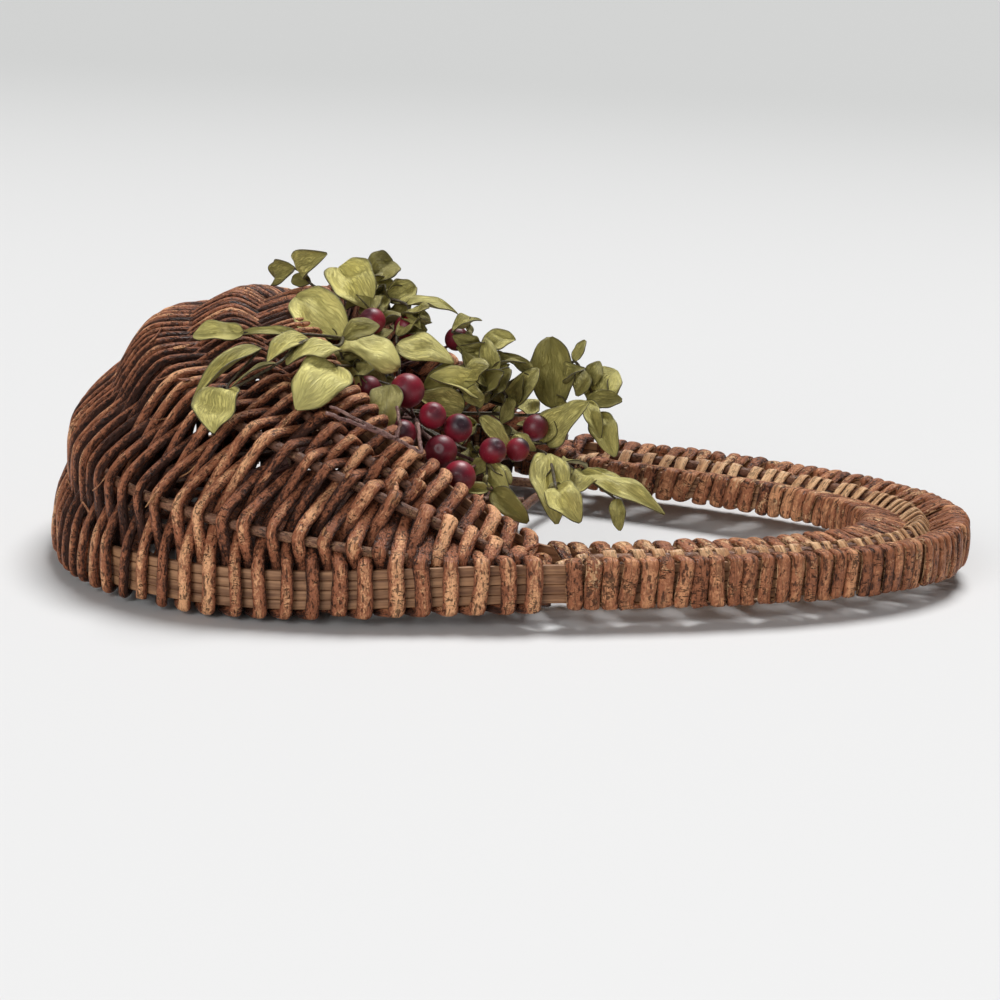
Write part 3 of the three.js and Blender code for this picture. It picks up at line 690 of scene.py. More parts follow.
class Figure:
    """Shader node groups for what more than one finish shows."""

    VECTOR = "NodeSocketVector"
    VALUE = "NodeSocketFloat"
    COLOUR = "NodeSocketColor"

    def __init__(self) -> None:
        """Builds every group once."""
        self.bark = self._bark()
        self.grain = self._grain()

    @staticmethod
    def _new(name: str, takes: dict[str, str], gives: dict[str, str]) -> tuple[NodeSheet, dict, dict]:
        """Starts a group.

        Args:
            name: its name.
            takes: socket types of its inputs by name.
            gives: socket types of its outputs by name.

        Returns:
            Its sheet, the sockets of its inputs, and the sockets that its results go to.
        """
        tree = bpy.data.node_groups.new(name, "ShaderNodeTree")
        for label, kind in takes.items():
            tree.interface.new_socket(name=label, in_out="INPUT", socket_type=kind)
        for label, kind in gives.items():
            tree.interface.new_socket(name=label, in_out="OUTPUT", socket_type=kind)
        sheet = NodeSheet(tree)
        entry, leave = sheet.node("NodeGroupInput"), sheet.node("NodeGroupOutput")
        return sheet, {k: entry.outputs[k] for k in takes}, {k: leave.inputs[k] for k in gives}

    def _bark(self) -> bpy.types.NodeTree:
        """Bark: long streaks, patches, dark splits along the rod and small pits."""
        takes = {"UV": self.VECTOR, "Tone": self.VALUE, "Shift": self.VALUE, "Split": self.VALUE}
        takes |= {"Dark": self.COLOUR, "Middle": self.COLOUR, "Light": self.COLOUR}
        gives = {"Colour": self.COLOUR, "Height": self.VALUE, "Patch": self.VALUE}
        gives |= {"Grit": self.VALUE, "Gap": self.VALUE}
        sheet, taken, given = self._new("bark_figure", takes, gives)
        offset = sheet.math("MULTIPLY", taken["Shift"], 90.0)
        streak = self._field(sheet, taken["UV"], offset, (60, 170, 1), 4)
        patch = self._field(sheet, taken["UV"], offset, (190, 260, 1), 4)
        grit = self._field(sheet, taken["UV"], offset, (1000, 1700, 1), 3)
        pit = sheet.noise(sheet.scaled(taken["UV"], (400, 1050, 1), offset), 1.0, 2, 0.5)
        pit = sheet.math("MULTIPLY", sheet.stretch(pit, 0.57, 0.65), 0.85)
        crack = sheet.ridge(sheet.noise(sheet.scaled(taken["UV"], (420, 130, 1), offset), 1.0, 3, 0.6))
        crack = sheet.math("MULTIPLY", sheet.stretch(crack, 0.95, 0.99), sheet.stretch(patch, 0.45, 0.8))
        split = sheet.ridge(sheet.noise(sheet.scaled(taken["UV"], (60, 560, 1), offset), 1.0, 3, 0.5))
        split = sheet.math("MULTIPLY", sheet.stretch(split, 0.93, 0.985), taken["Split"])
        level = taken["Tone"]
        for field_value, share in ((streak, 0.2), (patch, 0.34), (grit, 0.36)):
            swing = sheet.math("SUBTRACT", field_value, 0.5)
            level = sheet.math("ADD", level, sheet.math("MULTIPLY", swing, share))
        low = sheet.mix(sheet.stretch(level, -0.1, 0.45), taken["Dark"], taken["Middle"])
        high = sheet.mix(sheet.stretch(level, 0.45, 1.0), low, taken["Light"])
        gap = sheet.math("MAXIMUM", sheet.math("MAXIMUM", split, crack), pit)
        shaded = sheet.node("ShaderNodeVectorMath", operation="SCALE")
        sheet.feed(shaded.inputs[0], high)
        sheet.feed(shaded.inputs["Scale"], sheet.math("SUBTRACT", 1.0, sheet.math("MULTIPLY", gap, 0.86)))
        relief = sheet.math("ADD", sheet.math("MULTIPLY", streak, 0.3), sheet.math("MULTIPLY", grit, 0.45))
        relief = sheet.math("ADD", relief, sheet.math("MULTIPLY", patch, 0.3))
        relief = sheet.math("SUBTRACT", relief, sheet.math("MULTIPLY", gap, 0.8))
        sheet.feed(given["Colour"], shaded.outputs[0])
        sheet.feed(given["Height"], relief)
        sheet.feed(given["Patch"], patch)
        sheet.feed(given["Grit"], grit)
        sheet.feed(given["Gap"], gap)
        return sheet.tree

    @staticmethod
    def _field(sheet: NodeSheet, uv: Socket, offset: Socket, scale: Point, detail: float) -> Socket:
        """A noise over the UV map, spread out to reach from 0 to 1."""
        return sheet.stretch(sheet.noise(sheet.scaled(uv, scale, offset), 1.0, detail, 0.6), 0.31, 0.69)

    def _grain(self) -> bpy.types.NodeTree:
        """Peeled wood: fine lines along the strand, with darker bands and a few stains."""
        takes = {"UV": self.VECTOR, "Shift": self.VALUE, "Light": self.COLOUR, "Dark": self.COLOUR}
        gives = {"Colour": self.COLOUR, "Height": self.VALUE}
        sheet, taken, given = self._new("grain_figure", takes, gives)
        offset = sheet.math("MULTIPLY", taken["Shift"], 70.0)
        fine = sheet.noise(sheet.scaled(taken["UV"], (60, 2200, 1), offset), 1.0, 3, 0.6)
        band = sheet.noise(sheet.scaled(taken["UV"], (18, 700, 1), offset), 1.0, 3, 0.5)
        stain = sheet.noise(sheet.scaled(taken["UV"], (90, 160, 1), offset), 1.0, 3, 0.5)
        lines = sheet.math("ADD", sheet.math("MULTIPLY", fine, 0.6), sheet.math("MULTIPLY", band, 0.6))
        lines = sheet.math("ADD", lines, sheet.math("MULTIPLY", stain, 0.35))
        pale = sheet.stretch(lines, 0.58, 0.98)
        sheet.feed(given["Colour"], sheet.mix(pale, taken["Dark"], taken["Light"]))
        sheet.feed(given["Height"], sheet.math("ADD", fine, band))
        return sheet.tree


@dataclass(frozen=True)
class WillowFinish:
    """Willow with its bark on, worn through to the wood in places."""

    name: str
    dark: Colour
    middle: Colour
    light: Colour
    wood: Colour
    wood_line: Colour
    split: float = 0.2
    roughness: float = 0.47
    relief: float = 0.35

    def material(self, figure: Figure) -> bpy.types.Material:
        """Builds the material.

        Args:
            figure: the shared node groups.

        Returns:
            The material.
        """
        made, sheet, shader = new_material(self.name)
        uv = sheet.node("ShaderNodeUVMap", uv_map="UVMap").outputs["UV"]
        mark = sheet.node("ShaderNodeSeparateColor")
        attribute = sheet.node("ShaderNodeAttribute", attribute_name=FINISH)
        sheet.feed(mark.inputs[0], attribute.outputs["Color"])
        tone, worn, number = mark.outputs[0], mark.outputs[1], mark.outputs[2]
        colours = {"Dark": self.dark, "Middle": self.middle, "Light": self.light}
        on_rod = {"UV": uv, "Shift": number}
        bark = sheet.group(figure.bark, on_rod | {"Tone": tone, "Split": self.split} | colours)
        wood = sheet.group(figure.grain, on_rod | {"Light": self.wood, "Dark": self.wood_line})
        ragged = sheet.math("MULTIPLY", sheet.math("SUBTRACT", bark.outputs["Grit"], 0.5), 0.45)
        bare = sheet.math("ADD", worn, sheet.math("MULTIPLY", bark.outputs["Patch"], 0.5))
        bare = sheet.stretch(sheet.math("ADD", bare, ragged), 0.72, 0.9)
        pitted = sheet.node("ShaderNodeVectorMath", operation="SCALE")
        sheet.feed(pitted.inputs[0], wood.outputs["Colour"])
        kept = sheet.math("SUBTRACT", 1.0, sheet.math("MULTIPLY", bark.outputs["Gap"], 0.6))
        sheet.feed(pitted.inputs["Scale"], kept)
        sheet.feed(shader.inputs["Base Color"], sheet.mix(bare, bark.outputs["Colour"], pitted.outputs[0]))
        height = sheet.blend(bare, bark.outputs["Height"], wood.outputs["Height"])
        gloss = sheet.stretch(bark.outputs["Patch"], 0.3, 0.7, self.roughness - 0.12, self.roughness + 0.1)
        sheet.feed(shader.inputs["Roughness"], gloss)
        shader.inputs["Specular IOR Level"].default_value = 0.26
        add_relief(sheet, shader, height, self.relief, 0.0008)
        return made


@dataclass(frozen=True)
class ReedFinish:
    """Flat reed with lines along it."""

    name: str
    light: Colour
    dark: Colour
    roughness: float = 0.6
    relief: float = 0.25

    def material(self, figure: Figure) -> bpy.types.Material:
        """Builds the material.

        Args:
            figure: the shared node groups.

        Returns:
            The material.
        """
        made, sheet, shader = new_material(self.name)
        uv = sheet.node("ShaderNodeUVMap", uv_map="UVMap").outputs["UV"]
        mark = sheet.node("ShaderNodeSeparateColor")
        attribute = sheet.node("ShaderNodeAttribute", attribute_name=FINISH)
        sheet.feed(mark.inputs[0], attribute.outputs["Color"])
        on_reed = {"UV": uv, "Shift": mark.outputs[2]}
        grain = sheet.group(figure.grain, on_reed | {"Light": self.light, "Dark": self.dark})
        sheet.feed(shader.inputs["Base Color"], grain.outputs["Colour"])
        gloss = sheet.stretch(grain.outputs["Height"], 0.6, 1.4, 0.72, self.roughness)
        sheet.feed(shader.inputs["Roughness"], gloss)
        add_relief(sheet, shader, grain.outputs["Height"], self.relief, 0.0004)
        return made


@dataclass(frozen=True)
class LeafFinish:
    """One side of a dried leaf: wrinkles along it with painted shade in their creases, a midrib and a dark
    edge.
    """

    name: str
    light: Colour
    dark: Colour
    edge: Colour
    roughness: float = 0.6
    relief: float = 0.9

    def material(self) -> bpy.types.Material:
        """Builds the material and gives it."""
        made, sheet, shader = new_material(self.name)
        uv = sheet.node("ShaderNodeUVMap", uv_map="UVMap").outputs["UV"]
        mark = sheet.node("ShaderNodeSeparateColor")
        attribute = sheet.node("ShaderNodeAttribute", attribute_name=FINISH)
        sheet.feed(mark.inputs[0], attribute.outputs["Color"])
        tone, number = mark.outputs[0], mark.outputs[2]
        offset = sheet.math("MULTIPLY", number, 37.0)
        place = sheet.node("ShaderNodeSeparateXYZ")
        sheet.feed(place.inputs[0], uv)
        sway = sheet.noise(sheet.scaled(uv, (3, 3, 1), offset), 1.0, 2, 0.5)
        swayed = sheet.node("ShaderNodeCombineXYZ")
        sheet.feed(swayed.inputs[0], place.outputs[0])
        sheet.feed(swayed.inputs[1], sheet.math("ADD", place.outputs[1], sheet.math("MULTIPLY", sway, 0.25)))
        wrinkle = sheet.noise(sheet.scaled(swayed.outputs[0], (5, 24, 1), offset), 1.0, 4, 0.55)
        crease = sheet.stretch(sheet.ridge(wrinkle), 0.82, 1.0)
        patch = sheet.noise(sheet.scaled(uv, (3.5, 3.5, 1), offset), 1.0, 4, 0.6)
        middle = sheet.math("ABSOLUTE", sheet.math("SUBTRACT", place.outputs[1], 0.5))
        rib = sheet.stretch(middle, 0.035, 0.008)
        rim = sheet.stretch(middle, 0.44, 0.5)
        level = sheet.math("ADD", tone, sheet.math("MULTIPLY", sheet.math("SUBTRACT", patch, 0.5), 0.8))
        # painted shade: the wrinkles' creases are darkened
        level = sheet.math("ADD", level, sheet.math("MULTIPLY", crease, 0.28))
        body = sheet.mix(sheet.stretch(level, 0.05, 0.95), self.light, self.dark)
        mask = sheet.math("MAXIMUM", sheet.math("MULTIPLY", rim, 0.55), sheet.math("MULTIPLY", rib, 0.12))
        sheet.feed(shader.inputs["Base Color"], sheet.mix(mask, body, self.edge))
        gloss = sheet.stretch(patch, 0.3, 0.7, self.roughness - 0.1, self.roughness + 0.1)
        sheet.feed(shader.inputs["Roughness"], gloss)
        height = sheet.math("SUBTRACT", wrinkle, sheet.math("MULTIPLY", crease, 0.35))
        height = sheet.math("SUBTRACT", height, sheet.math("MULTIPLY", rib, 0.3))
        add_relief(sheet, shader, height, self.relief, 0.0012)
        return made


@dataclass(frozen=True)
class BerryFinish:
    """A glossy berry, dark about its crown."""

    name: str
    red: Colour
    deep: Colour
    crown: Colour
    roughness: float = 0.44

    def material(self) -> bpy.types.Material:
        """Builds the material and gives it."""
        made, sheet, shader = new_material(self.name)
        mark = sheet.node("ShaderNodeSeparateColor")
        attribute = sheet.node("ShaderNodeAttribute", attribute_name=FINISH)
        sheet.feed(mark.inputs[0], attribute.outputs["Color"])
        place = sheet.node("ShaderNodeTexCoord").outputs["Object"]
        cloud = sheet.noise(place, 160.0, 4, 0.55)
        speck = sheet.stretch(sheet.cells(place, 900.0), 0.22, 0.1)
        depth = sheet.stretch(sheet.math("ADD", cloud, mark.outputs[1]), 0.5, 1.3)
        flesh = sheet.mix(depth, self.red, self.deep)
        swing = sheet.math("MULTIPLY", sheet.math("SUBTRACT", cloud, 0.5), 0.5)
        cap = sheet.math("ADD", mark.outputs[0], swing)
        colour = sheet.mix(sheet.stretch(cap, 0.35, 1.1), flesh, self.crown)
        colour = sheet.mix(sheet.math("MULTIPLY", speck, 0.12), colour, (0.55, 0.35, 0.35, 1.0))
        sheet.feed(shader.inputs["Base Color"], colour)
        gloss = sheet.stretch(cloud, 0.3, 0.7, self.roughness - 0.06, self.roughness + 0.14)
        sheet.feed(shader.inputs["Roughness"], gloss)
        shader.inputs["Coat Weight"].default_value = 0.08
        shader.inputs["Coat Roughness"].default_value = 0.25
        add_relief(sheet, shader, cloud, 0.08, 0.0004)
        return made


def new_material(name: str) -> tuple[bpy.types.Material, NodeSheet, bpy.types.Node]:
    """Starts a material.

    Args:
        name: its name.

    Returns:
        The material, its node sheet and its shader.
    """
    made = bpy.data.materials.new(name)
    made.use_nodes = True
    made.node_tree.nodes.clear()
    sheet = NodeSheet(made.node_tree)
    shader = sheet.node("ShaderNodeBsdfPrincipled")
    out = sheet.node("ShaderNodeOutputMaterial")
    sheet.feed(out.inputs["Surface"], shader.outputs["BSDF"])
    return made, sheet, shader


def add_relief(
    sheet: NodeSheet, shader: bpy.types.Node, height: Socket, strength: float, depth: float
) -> None:
    """Gives a shader relief from a height.

    Args:
        sheet: the material's sheet.
        shader: its shader.
        height: the socket of the height.
        strength: how strong the relief is.
        depth: how deep it is, in metres.
    """
    bump = sheet.node("ShaderNodeBump")
    bump.inputs["Strength"].default_value = strength
    bump.inputs["Distance"].default_value = depth
    sheet.feed(bump.inputs["Height"], height)
    sheet.feed(shader.inputs["Normal"], bump.outputs["Normal"])


@dataclass
class Finishes:
    """Every material of the part."""

    figure: Figure

    def __post_init__(self) -> None:
        """Builds the materials."""
        self.bark = WillowFinish(
            "willow_bark",
            dark=(0.052, 0.018, 0.010, 1),
            middle=(0.400, 0.142, 0.068, 1),
            light=(0.950, 0.500, 0.255, 1),
            wood=(0.860, 0.450, 0.210, 1),
            wood_line=(0.200, 0.070, 0.026, 1),
            split=0.25,
            relief=0.8,
        ).material(self.figure)
        self.strip = WillowFinish(
            "split_willow",
            dark=(0.044, 0.014, 0.008, 1),
            middle=(0.380, 0.138, 0.064, 1),
            light=(0.740, 0.350, 0.170, 1),
            wood=(0.960, 0.620, 0.345, 1),
            wood_line=(0.520, 0.250, 0.115, 1),
            split=0.45,
            relief=0.8,
        ).material(self.figure)
        self.rib = WillowFinish(
            "rib_rod",
            dark=(0.060, 0.030, 0.022, 1),
            middle=(0.190, 0.085, 0.050, 1),
            light=(0.360, 0.190, 0.110, 1),
            wood=(0.440, 0.250, 0.130, 1),
            wood_line=(0.230, 0.110, 0.055, 1),
            relief=0.4,
        ).material(self.figure)
        self.twig = WillowFinish(
            "twig_stem",
            dark=(0.060, 0.028, 0.026, 1),
            middle=(0.210, 0.105, 0.090, 1),
            light=(0.380, 0.230, 0.190, 1),
            wood=(0.420, 0.300, 0.200, 1),
            wood_line=(0.200, 0.110, 0.070, 1),
            relief=0.5,
        ).material(self.figure)
        self.stem = WillowFinish(
            "leaf_stem",
            dark=(0.035, 0.028, 0.018, 1),
            middle=(0.090, 0.070, 0.040, 1),
            light=(0.200, 0.170, 0.080, 1),
            wood=(0.300, 0.250, 0.120, 1),
            wood_line=(0.120, 0.090, 0.050, 1),
            relief=0.4,
        ).material(self.figure)
        reed = ReedFinish("frame_reed", (0.470, 0.245, 0.120, 1), (0.150, 0.064, 0.031, 1))
        self.reed = reed.material(self.figure)
        leaf_edge = (0.075, 0.062, 0.020, 1)
        sides = (
            ("leaf_face", (0.880, 0.790, 0.265, 1), (0.370, 0.320, 0.085, 1)),
            ("leaf_back", (0.560, 0.490, 0.180, 1), (0.210, 0.175, 0.055, 1)),
            ("leaf_edge", (0.180, 0.150, 0.050, 1), (0.060, 0.050, 0.018, 1)),
        )
        self.leaf = [LeafFinish(*side, leaf_edge).material() for side in sides]
        self.berry = BerryFinish(
            "berry_skin", (0.260, 0.009, 0.026, 1), (0.075, 0.004, 0.012, 1), (0.022, 0.006, 0.014, 1)
        ).material()


@dataclass
class Hoops:
    """The flat reeds of the two hoops, and the round rods of the pocket and the back."""

    lines: FrameLines
    placement: Placement
    finishes: Finishes
    hoop_reeds: int = 4
    hoop_reed_height: float = 3.15
    mouth_reeds: int = 3
    mouth_reed_height: float = 2.75
    reed_thickness: float = 2.2
    reed_gap: float = 0.3
    rod_radius: float = 2.0
    steps: int = 360
    rib_start: float = 0.262

    def hoop_half_height(self) -> float:
        """Half the height of the back hoop's stack."""
        return (self.hoop_reeds * self.hoop_reed_height + (self.hoop_reeds - 1) * self.reed_gap) / 2

    def mouth_half_height(self) -> float:
        """Half the height of the mouth hoop's stack."""
        return (self.mouth_reeds * self.mouth_reed_height + (self.mouth_reeds - 1) * self.reed_gap) / 2

    def build(self) -> None:
        """Builds every reed and rod."""
        for i in range(self.hoop_reeds):
            rise = (i - (self.hoop_reeds - 1) / 2) * (self.hoop_reed_height + self.reed_gap)
            name, node = f"reed_back_{i + 1}", f"back_hoop_reed_{i + 1}"
            self._reed(name, node, False, rise, self.hoop_reed_height, i)
        for i in range(self.mouth_reeds):
            rise = (i - (self.mouth_reeds - 1) / 2) * (self.mouth_reed_height + self.reed_gap)
            name, node = f"reed_mouth_{i + 1}", f"mouth_hoop_reed_{i + 1}"
            self._reed(name, node, True, rise, self.mouth_reed_height, 7 + i)
        shares = np.arange(self.steps) / self.steps
        self._rod("rod_middle_hoop", "middle_hoop_rod", shares, 1, True, 21)
        span = np.linspace(self.rib_start, 1 - self.rib_start, self.steps // 2)
        self._rod("rod_lower_rib", "lower_rib", span, 0, False, 22)
        self._rod("rod_upper_rib", "upper_rib", span, 2, False, 23)

    def _reed(self, name: str, node: str, mouth: bool, rise: float, height: float, seed: int) -> None:
        """Builds one closed reed at a height in its stack, standing on edge."""
        rng = np.random.default_rng(seed)
        shares = np.arange(self.steps) / self.steps
        at = self.lines.mouth if mouth else self.lines.hoop
        ups = np.array([self.lines.mouth_up(s) if mouth else UP for s in shares])
        line = np.array([at(s) for s in shares]) + ups * rise
        flat = np.full(self.steps, 1.0)
        width = flat * (height + 0.18)
        thickness = flat * self.reed_thickness
        strand = Strand(line, ups, width, thickness, flat * 0.5, flat * 0, closed=True)
        strand.section, strand.sides = Section.FLAT, 16
        strand.start = float(rng.uniform(0, 1))
        piece = StrandPiece(name, self.placement, [strand]).build()
        piece.data.materials.append(self.finishes.reed)
        hand_over(piece, Body.BASKET, [node])

    def _rod(self, name: str, node: str, shares: Array, number: int, closed: bool, seed: int) -> None:
        """Builds one of the three round rods along the skin."""
        angles = [self.lines.rib_angle(s, number) for s in shares]
        line = np.array([self.lines.skin(s, angle) for s, angle in zip(shares, angles)])
        across = np.array([self.lines.skin_out(s, angle) for s, angle in zip(shares, angles)])
        self.rod(name, node, line, across, closed, seed)

    def rod(self, name: str, node: str, line: Array, across: Array, closed: bool, seed: int) -> None:
        """Builds one round rod along a line, in place of a CAD node."""
        rng = np.random.default_rng(seed)
        count = len(line)
        size = 2 * self.rod_radius * (1 + 0.05 * drift(count, 9, rng))
        tone = 0.55 + 0.2 * drift(count, 20, rng)
        worn = 0.25 + 0.2 * drift(count, 14, rng)
        strand = Strand(line, across, size, size * 0.96, tone, worn, sides=12, closed=closed)
        strand.start = float(rng.uniform())
        piece = StrandPiece(name, self.placement, [strand]).build()
        piece.data.materials.append(self.finishes.rib)
        hand_over(piece, Body.BASKET, [node])


@dataclass
class Weaving:
    """What the pocket's rods and the handle's strips share: where a strand passes each warp."""

    hoops: Hoops
    fit: float = 0.1

    def hoop_step(self, share: float, out: int, up: int, clear: float) -> tuple[Array, Array]:
        """A corner of the back hoop, as place and warp direction."""
        lines, hoops = self.hoops.lines, self.hoops
        aside = hoops.reed_thickness / 2 + self.fit + clear
        above = hoops.hoop_half_height() + self.fit + clear
        at = lines.hoop(share) + out * aside * lines.hoop_out(share) + up * above * UP
        return at, lines.hoop_along(share)

    def mouth_step(self, share: float, inside: int, up: int, clear: float) -> tuple[Array, Array]:
        """A corner of the mouth hoop, as place and warp direction."""
        lines, hoops = self.hoops.lines, self.hoops
        aside = hoops.reed_thickness / 2 + self.fit + clear
        above = hoops.mouth_half_height() + self.fit + clear
        at = lines.mouth(share) + inside * aside * lines.mouth_in(share) + up * above * lines.mouth_up(share)
        return at, lines.mouth_along(share)

    def rib_step(self, share: float, angle: float, side: int, clear: float) -> tuple[Array, Array]:
        """A rib's outer or inner side, as place and warp direction."""
        lines = self.hoops.lines
        reach = self.hoops.rod_radius + self.fit + clear
        at = lines.skin(share, angle) + side * reach * lines.skin_out(share, angle)
        return at, lines.skin_along(share, angle)


@dataclass
class PocketWeave(Weaving):
    """Whole willow rods in plain weave, from the back hoop over the ribs to the rim and back."""

    weavers: int = 8
    turns_each: int = 8
    narrow_turns: int = 6
    crowding: float = 0.06
    rod_width: float = 3.75
    ear_rod_width: float = 5.6
    far_width: float = 6.0
    far_start: float = 0.47
    far_ease: float = 0.05
    far_height: float = 48.0
    far_fade: float = 14.0
    rim_slimness: float = 0.26
    rod_thickness: float = 3.2
    hoop_clear: float = 1.45
    ear_gap: float = 3.0
    low_rib_pull: float = 0.03
    spacing: float = 1.1
    tension: float = 0.74
    near_stiffness: float = 0.34
    sides: int = 12
    splinters: int = 12

    def build(self) -> None:
        """Builds every weaver."""
        for number in range(self.weavers):
            rng = np.random.default_rng(100 + number)
            rod, kinks = self._weaver(number, rng)
            strands = [rod] + self._splinters(rod, kinks, rng)
            piece = StrandPiece(f"pocket_rods_{number + 1}", self.hoops.placement, strands).build()
            piece.data.materials.append(self.hoops.finishes.bark)
            hand_over(piece, Body.BASKET, [f"pocket_weaver_{number + 1}"])

    def turns(self) -> int:
        """How many turns the pocket has."""
        return self.weavers * self.turns_each

    def row_share(self, row: float) -> float:
        """The share of the way round of a row, from the ear at +Y, closer at the bottom of the pocket."""
        lines = self.hoops.lines
        span = 1 - 2 * lines.ear_share - self.ear_gap / lines.hoop_round
        way = (row + 0.5) / self.turns() - 1
        return 0.5 + way * (1 - self.crowding + self.crowding * way * way) * span / 2

    def _rib(self, share: float, number: int, side: int) -> tuple[Array, Array, float, float]:
        """A step past a rib. At the lowest one the rods are drawn towards the bottom of the pocket."""
        angle = self.hoops.lines.rib_angle(share, number)
        pull = self.low_rib_pull * (1 - self.hoops.lines.along_pocket(share) ** 2) if number == 0 else 0.0
        drawn = 0.5 + (share - 0.5) * (1 - pull)
        at, warp = self.rib_step(drawn, angle, side, self.rod_thickness / 2)
        # the last value is painted shade, set where the rod passes inside the rib
        return at, warp, float(side > 0), float(side < 0)

    def _turn(self, turn: int) -> list[tuple[Array, Array, float, float]]:
        """The steps of one turn, up at one share and back at the next: place, warp, kink and painted shade.
        """
        clear = self.rod_thickness / 2
        away, back = self.row_share(2 * turn), self.row_share(2 * turn + 1)
        over, under = self.hoops.lines.over(away), self.hoops.lines.over(back)
        beside = min(turn, self.turns() - 1 - turn)
        ribs = (1,) if beside < self.narrow_turns else (0, 1, 2)
        up = [self._rib(away, n, 1 if i % 2 else -1) for i, n in enumerate(ribs)]
        down = [self._rib(back, n, -1 if i % 2 else 1) for i, n in enumerate(ribs)][::-1]
        # the last value of each step is painted shade, set where the rod passes inside or behind the hoop and
        # under the mouth hoop
        outer = [(*self.hoop_step(away, 1, z, self.hoop_clear), 0.0, 0.0) for z in (-1, 1)]
        inner = [(*self.hoop_step(away, -1, 1, self.hoop_clear), 0.0, 0.5)]
        behind = [(*self.hoop_step(back, -1, 1, self.hoop_clear), 0.0, 1.0)]
        leans_up = up[0][0][2] > outer[1][0][2]
        leans_down = down[-1][0][2] > behind[0][0][2]
        steps = outer + ([] if leans_up else inner) + up
        steps += [(*self.mouth_step(over, side, 1, clear), 0.2, 0.0) for side in (-1, 1)]
        steps += [(*self.mouth_step(under, side, -1, clear), 0.0, 0.6) for side in (1, -1)]
        steps += down + (behind if leans_down else [])
        return steps + [(*self.hoop_step(back, -1, -1, self.hoop_clear), 0.0, 1.0)]

    @staticmethod
    def _near(share: Array) -> Array:
        """How far the rods are those of the sides: 0 at the bottom of the pocket, 1 towards the ears."""
        return np.clip((np.abs(share - 0.5) - 0.1) / 0.15, 0, 1)

    def _weaver(self, number: int, rng: Rng) -> tuple[Strand, Array]:
        """One weaver as a strand, with the finish of the rods that it is pieced from, and where it kinks."""
        steps, shares = [], []
        for i in range(self.turns_each):
            turn = number * self.turns_each + i
            made = self._turn(turn)
            steps += made
            shares += list(np.linspace(self.row_share(2 * turn), self.row_share(2 * turn + 1), len(made)))
        points = np.array([p for p, _, _, _ in steps])
        sides = np.array([a for _, a, _, _ in steps])
        points[1:-1] += sides[1:-1] * rng.normal(0, 0.5, (len(points) - 2, 1))
        points[1:-1] += rng.uniform(-0.2, 0.2, points[1:-1].shape)
        tension = self.tension - self.near_stiffness * self._near(np.array(shares))
        line, across, passed = thread(points, sides, self.spacing, tension)
        count = len(line)
        at = np.arange(len(shares))
        share = np.interp(passed, at, shares)
        broken = np.array([k for _, _, k, _ in steps]) * rng.uniform(0, 1, len(steps))
        shade = np.interp(passed, at, [s for _, _, _, s in steps])
        kinks = np.interp(passed, at, broken) ** 2
        near = self._near(share)
        rods = drift(count, 150, rng)
        size = 1 + 0.13 * rods + 0.06 * drift(count, 5, rng) + 0.16 * kinks * near
        width = (self.rod_width + (self.ear_rod_width - self.rod_width) * near) * size
        lines = self.hoops.lines
        far = np.clip((self.far_start - share) / self.far_ease, 0, 1)
        far = far * np.clip((self.far_height - line[:, 2]) / self.far_fade, 0, 1)
        width = np.maximum(width, self.far_width * far)
        rise = np.clip((line[:, 2] - lines.middle) / (lines.lip_height - lines.middle), 0, 1)
        width = width * (1 - self.rim_slimness * rise * (share > 0.47))
        thickness = self.rod_thickness * (1.1 - 0.13 * near + 0.08 * rods + 0.06 * drift(count, 5, rng))
        tone = 0.37 + 0.29 * near + 0.33 * drift(count, 90, rng) + 0.12 * drift(count, 18, rng) + 0.2 * kinks
        # painted shade: the rod is darker and less worn where it passes inside, behind or under
        tone = tone - 0.5 * shade
        worn = 0.1 * near + 0.18 * drift(count, 40, rng) + 0.18 * drift(count, 8, rng)
        worn = worn + kinks * (0.06 + 0.78 * near) - 0.3 * shade
        rod = Strand(line, across, width, thickness, tone, worn, sides=self.sides)
        rod.start = float(rng.uniform())
        rod.rough = 0.014 + 0.018 * near
        # painted shade on the rods' flanks and painted light on their faces
        rod.painted_flank_shade = 0.6
        return rod, kinks * near

    def _splinters(self, rod: Strand, kinks: Array, rng: Rng) -> list[Strand]:
        """Slivers of bark that stand off a rod, most of them where it kinks."""
        along, side, lift = rod.axes()
        lines = self.hoops.lines
        middle = np.array([lines.lip_x * 0.6, 0.0, lines.middle])
        elsewhere, margin, steps, thickness = 0.004, 10, 7, 0.45
        chance = (elsewhere + kinks)[margin:-margin]
        chosen = rng.choice(len(chance), self.splinters, replace=False, p=chance / chance.sum()) + margin
        t = np.linspace(0, 1, steps)[:, None]
        taper = np.sin(np.clip(t[:, 0] * 0.86 + 0.14, 0, 1) * math.pi) ** 0.5 + 0.12
        flat = np.ones(steps)
        made = []
        for i in chosen:
            out = lift[i] if np.dot(lift[i], rod.line[i] - middle) > 0 else -lift[i]
            turn = rng.uniform(-0.9, 0.9)
            up, aside = math.cos(turn) * out, math.sin(turn) * side[i]
            off = up + aside
            way = along[i] * rng.choice([-1.0, 1.0])
            length = rng.uniform(2.5, 7.0)
            rise = rng.uniform(0.1, 0.5)
            foot = rod.line[i] + (up * rod.thickness[i] + aside * rod.width[i]) * 0.47
            bent = side[i] * length * rng.uniform(-0.3, 0.3) * t**2
            path = foot + way * length * t + off * length * rise * t**1.7 + bent
            width = rng.uniform(0.8, 2.2) * taper
            across = np.tile(np.cross(off, way), (steps, 1))
            tone, worn = flat * rng.uniform(0.3, 0.8), flat * rng.uniform(0.0, 0.9)
            sliver = Strand(path, across, width, flat * thickness, tone, worn)
            sliver.sides = 6
            sliver.start = float(rng.uniform())
            made.append(sliver)
        return made


